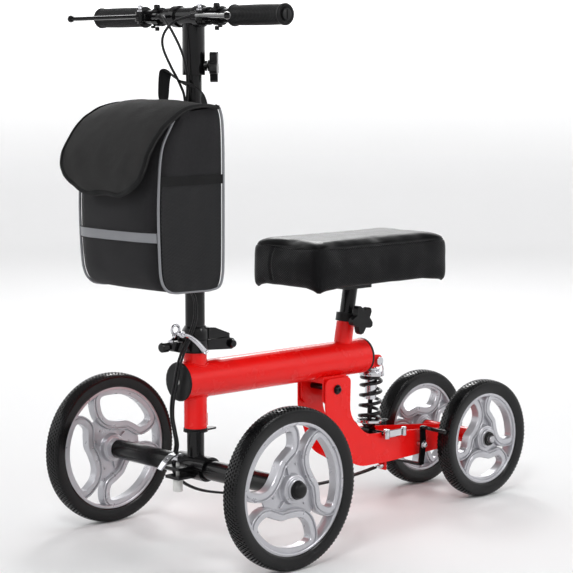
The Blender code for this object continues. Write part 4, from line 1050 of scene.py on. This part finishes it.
def fold_lever():
    """The bright lever of the folding joint: a bowed strap that widens to a rolled end."""
    x, y, z = pivot("fold_lever_open")
    route = [(x, y, z), (x + 1, y + 14, z - 4), (x + 2, y + 30, z - 15), (x + 1, y + 49, z - 33)]
    route = smooth_path(route, 8)
    strap = sweep(route, strap_section(8.6, 2.6), up=(1, 0, 0), scale=lambda t: 0.62 + 0.5 * t)
    rib = sweep([p + Vector((1.4, 0, 0)) for p in route[4:-3]], circle(0.9, 8), up=(1, 0, 0))
    leaning = at(*route[-1]) @ Matrix.Rotation(math.radians(-47), 4, "X")
    roll = moved(rod(2.6, -4.6, 4.6, 1.0), leaning)
    hub = moved(rod(5.6, -4, 3, 0.9), along_x(x, y, z))
    screw = moved(socket_screw(3.4, 2.4, 5.6), along_x(x, y, z))
    add_piece("fold_lever_detail", join(strap, rib, roll, hub, screw), "fold_lever", "chrome", "fold_lever")


def fold_eye():
    """Eye bolt of the folding joint, with its large ring, nut and cross pin."""
    _, y, z = pivot("fold_lever_open")
    ring = moved(lathe([(7.4 + u, v) for u, v in circle(2.1, 12)], 40, closed=True), along_x(11, y, z + 6))
    stem = smooth_path([(11, y, z - 1.5), (8, y, z - 6), (2, y, z - 11), (0, y, z - 17), (0, y, z - 26)], 5)
    stem = sweep(stem, circle(2.6, 12), up=(0, 1, 0))
    pin = moved(rod(2.5, 8, 21.6, 0.6), along_x(0, y, z))
    nut = moved(hexagon(8.5, z - 16, z - 11.5), at(0, y, 0))
    add_piece("fold_eye", join(ring, stem, pin, nut), "steering", "chrome", "fold_eye_bolt")


def shock_lever():
    """Quick-release lever at the shock's foot: a bowed strap between two rolled ends."""
    low, high = low_high("shock_lever")
    _, front, z = pivot("shock_lever_open")
    x, rear = high.x - 3.5, high.y - 4
    bow = [(x, front, z), (x + 2.5, front + 10, z), (x + 2.5, rear - 12, z), (x, rear, z)]
    strap = sweep(smooth_path(bow, 6), [(t, w) for w, t in strap_section(13, 2.4)])
    rolls = [moved(rod(radius, -half, half, 1.2), at(x, y, z))
             for radius, half, y in ((5.6, 8.5, front), (4.4, 8.0, rear))]
    pin = moved(rod(3.8, low.x, x, 0.8), along_x(0, front, z))
    add_piece("shock_lever_detail", join(strap, *rolls, pin), "shock_lever", "chrome", "shock_lever")


def bolts():
    """Button-head screws at the swingarm's pivot and domes at the brake's."""
    low, high = low_high("swingarm_pivot_bolt")
    _, y, z = pivot("swingarm")
    heads = [moved(rod(4.9, low.x + 2, high.x - 2), along_x(0, y, z))]
    for _, _, flip in SIDES:
        button = [(0, -5), (5.6, -5), (6.6, -4.2), (6.4, -2.6), (5.2, -1.0), (3.4, -0.3), (0, -0.2)]
        head = cut(lathe(button, 32), hexagon(4.6, -2.6, 3, 0.05))
        washer = lathe([(4.2, -5.6), (8.0, -5.6), (8.3, -5.2), (8.0, -4.7), (4.2, -4.7)], 32, closed=True)
        heads.append(moved(join(head, washer), at(0, y, z) @ flip @ along_x(high.x)))
    add_piece("swingarm_pivot_screw", join(*heads), "frame", "black_paint", "swingarm_pivot_bolt")
    low, high = low_high("brake_pivot_bolt")
    _, y, z = pivot("rear_brake")
    parts = [moved(rod(3.9, low.x + 4, high.x - 4), along_x(0, y, z))]
    for _, _, flip in SIDES:
        dome = lathe([(0, -5.6), (6.4, -5.6), (6.8, -5), (6.4, -4.2), (4.8, -4.2), (4.6, -2.6), (3.4, -0.9),
                      (1.6, -0.1), (0, 0)], 32)
        parts.append(moved(dome, at(0, y, z) @ flip @ along_x(high.x)))
    add_piece("brake_pivot_dome", join(*parts), "swingarm", "chrome", "brake_pivot_bolt")


def lever_perches():
    """Screws, stop tabs and clamp bolts of the two brake lever perches."""
    for sign, side, _ in SIDES:
        x, y, z = pivot(f"brake_lever_{side}")
        clamp_y = low_high(f"grip_{side}")[0].y + 12
        tab = skin([[(x - 3.4, clamp_y - 5, h), (x + 3.4, clamp_y - 5, h), (x + 3.4, clamp_y + 4, h),
                     (x - 3.4, clamp_y + 4, h)] for h in (z + 12, z + 19.5)], caps=True)
        bmesh.ops.bevel(tab, geom=tab.edges, offset=1.1, segments=2, affect="EDGES")
        add_piece(f"perch_tab_{side}", tab, "handlebar", "black_plastic")
        screw = moved(socket_screw(3.6, -6.5, 0), at(x, clamp_y, z - 15.6))
        nut = moved(hexagon(6.4, -4.5, 0), at(x + sign * 9, clamp_y - 1, z - 13.5))
        add_piece(f"perch_screws_{side}", join(screw, nut), "handlebar", "black_paint")
        stem = join(moved(rod(2.4, 7.8, 15.5, 0.5), at(x, y, z)),
                    moved(rod(1.7, -5.2, 5.2, 0.6), at(x, y, z + 16.2) @ along_x()),
                    moved(hexagon(7.6, 7.4, 10.4), at(x, y, z)))
        add_piece(f"perch_pin_{side}", stem, "handlebar", "chrome")


GRIP_LENGTH, GRIP_RIBS, RIB_PITCH = 118, 34, 3.05


def grips():
    """Ribbed rubber grips with a flange inside and a slotted plug at the end."""
    for _, side, flip in SIDES:
        low, high = low_high(f"grip_{side}")
        y, z = (low.y + high.y) / 2, (low.z + high.z) / 2
        start = min(abs(low.x), abs(high.x))
        flange = [(11.3, 0), (15.8, 0), (16.9, 1.1), (16.9, 3.2), (15.6, 4.6)]
        profile = [(r, start + x) for r, x in flange]
        for rib in range(GRIP_RIBS):
            x = start + 6.5 + rib * RIB_PITCH
            bulge = 0.55 * math.sin(math.pi * rib / (GRIP_RIBS - 1))
            ridge = [(14.6, 0), (15.3, 0.7), (15.3, 1.9), (14.6, 2.6)]
            profile += [(r + bulge, x + step) for r, step in ridge]
        end = start + GRIP_LENGTH
        profile += [(15.2, end - 7.6), (16.4, end - 6.2), (16.6, end - 2.6), (15.4, end - 0.6), (13.6, end),
                    (12.4, end - 1.4), (0, end - 1.4)]
        grip = moved(lathe(profile, 48), at(0, y, z) @ flip @ along_x())
        add_piece(f"grip_{side}_ribbed", grip, "handlebar", "rubber", f"grip_{side}", smooth_angle=50)
        plug = rod(9.2, 0, 2.6, 1.0, 40)
        slot = skin([[(-7, -1.0, z), (7, -1.0, z), (7, 1.0, z), (-7, 1.0, z)] for z in (1.5, 4)], caps=True)
        plug = cut(plug, slot)
        plug = moved(plug, at(0, y, z) @ flip @ along_x(end - 1.7))
        add_piece(f"grip_plug_{side}", plug, "handlebar", "black_plastic")


THIN = 12  # a node that is thinner than this in any direction gets smaller roundings


def refine_rest():
    """Every CAD node that no piece stands for yet gets merged facets and rounded edges."""
    shown = {n for o in bpy.data.objects for n in o.get("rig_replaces", [])}
    looks = {part["node"]: part["material_slot"] for part in frame["record"]["subparts"]}
    for node in sorted(frame["nodes"]):
        if node not in shown:
            size = min(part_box(node)[1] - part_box(node)[0]) / MM
            refine(node, looks[node], 0.35 if size < THIN else 0.7)


# ---- studio

# Name, place, size in metres, watts
LIGHTS = (("key", (1.6, -2.2, 2.6), 0.8, 30), ("side", (2.8, 0.9, 1.6), 0.6, 14),
          ("back", (-2.4, 2.2, 2.4), 0.9, 34), ("top", (0, 0, 3.2), 1.2, 16))
LIGHTS_AIM = (0, 0, 0.4)
CAMERA_PLACE = (2.3838, -2.0302, 0.7827)  # metres, y from the front axle
CAMERA_TILT, CAMERA_TURN, CAMERA_LENS = -6.64, 46.91, 124.3


def studio():
    """A pale round room whose wall glows more on the far side, four soft lights and the camera."""
    floor = [(0, 0), (2.6, 0), (5.2, 0.0), (6.4, 0.12), (7.3, 0.55), (7.8, 1.3), (8.0, 2.4), (8.0, 5.5)]
    mesh = mesh_of("studio_room", lathe(floor, 96), 180)
    look = Look("studio", (0.9, 0.9, 0.905), 0.9, Emission_Color=(1, 1, 1, 1))
    upward = look.ramp(look.along((0, 0, 1)), 0, 1, 0, 1.6, "SMOOTHSTEP")
    across = look.ramp(look.along((-0.73, 0.68, 0)), 0.14, 1.15, -6, 6, "SMOOTHSTEP")
    look.put(look.shader, {"Emission Strength": look.math("MULTIPLY", upward, across)})
    look.vary_colour(look.noise(0.8), 0.99, 1.0)
    mesh.materials.append(look.material)
    linked("studio_room", mesh)
    world = bpy.data.worlds.new("studio")
    world.use_nodes = True
    background = world.node_tree.nodes["Background"].inputs
    background["Color"].default_value = (1, 1, 1, 1)
    background["Strength"].default_value = 0.3
    bpy.context.scene.world = world
    bpy.context.scene.view_settings.view_transform = "Standard"
    for name, spot, size, power in LIGHTS:
        lamp = linked(name, given(bpy.data.lights.new(name, "AREA"), size=size, energy=power))
        lamp.location = spot
        lamp.rotation_euler = (Vector(LIGHTS_AIM) - lamp.location).to_track_quat("-Z", "Y").to_euler()
    data = bpy.data.cameras.new("camera")
    camera = linked("camera", given(data, lens=CAMERA_LENS, sensor_width=36, clip_end=50))
    x, y, z = CAMERA_PLACE
    camera.location = (x, y + AXLE_Y * MM, z)
    camera.rotation_euler = (math.radians(90 + CAMERA_TILT), 0, math.radians(CAMERA_TURN))
    bpy.context.scene.camera = camera


# ---- assembly

make_looks()
wheels()
hub_ends()
cushion()
bag()
flap()
cables()
shock()
frame_details()
grips()
fold_lever()
fold_eye()
shock_lever()
bolts()
lever_perches()
refine_rest()
studio()
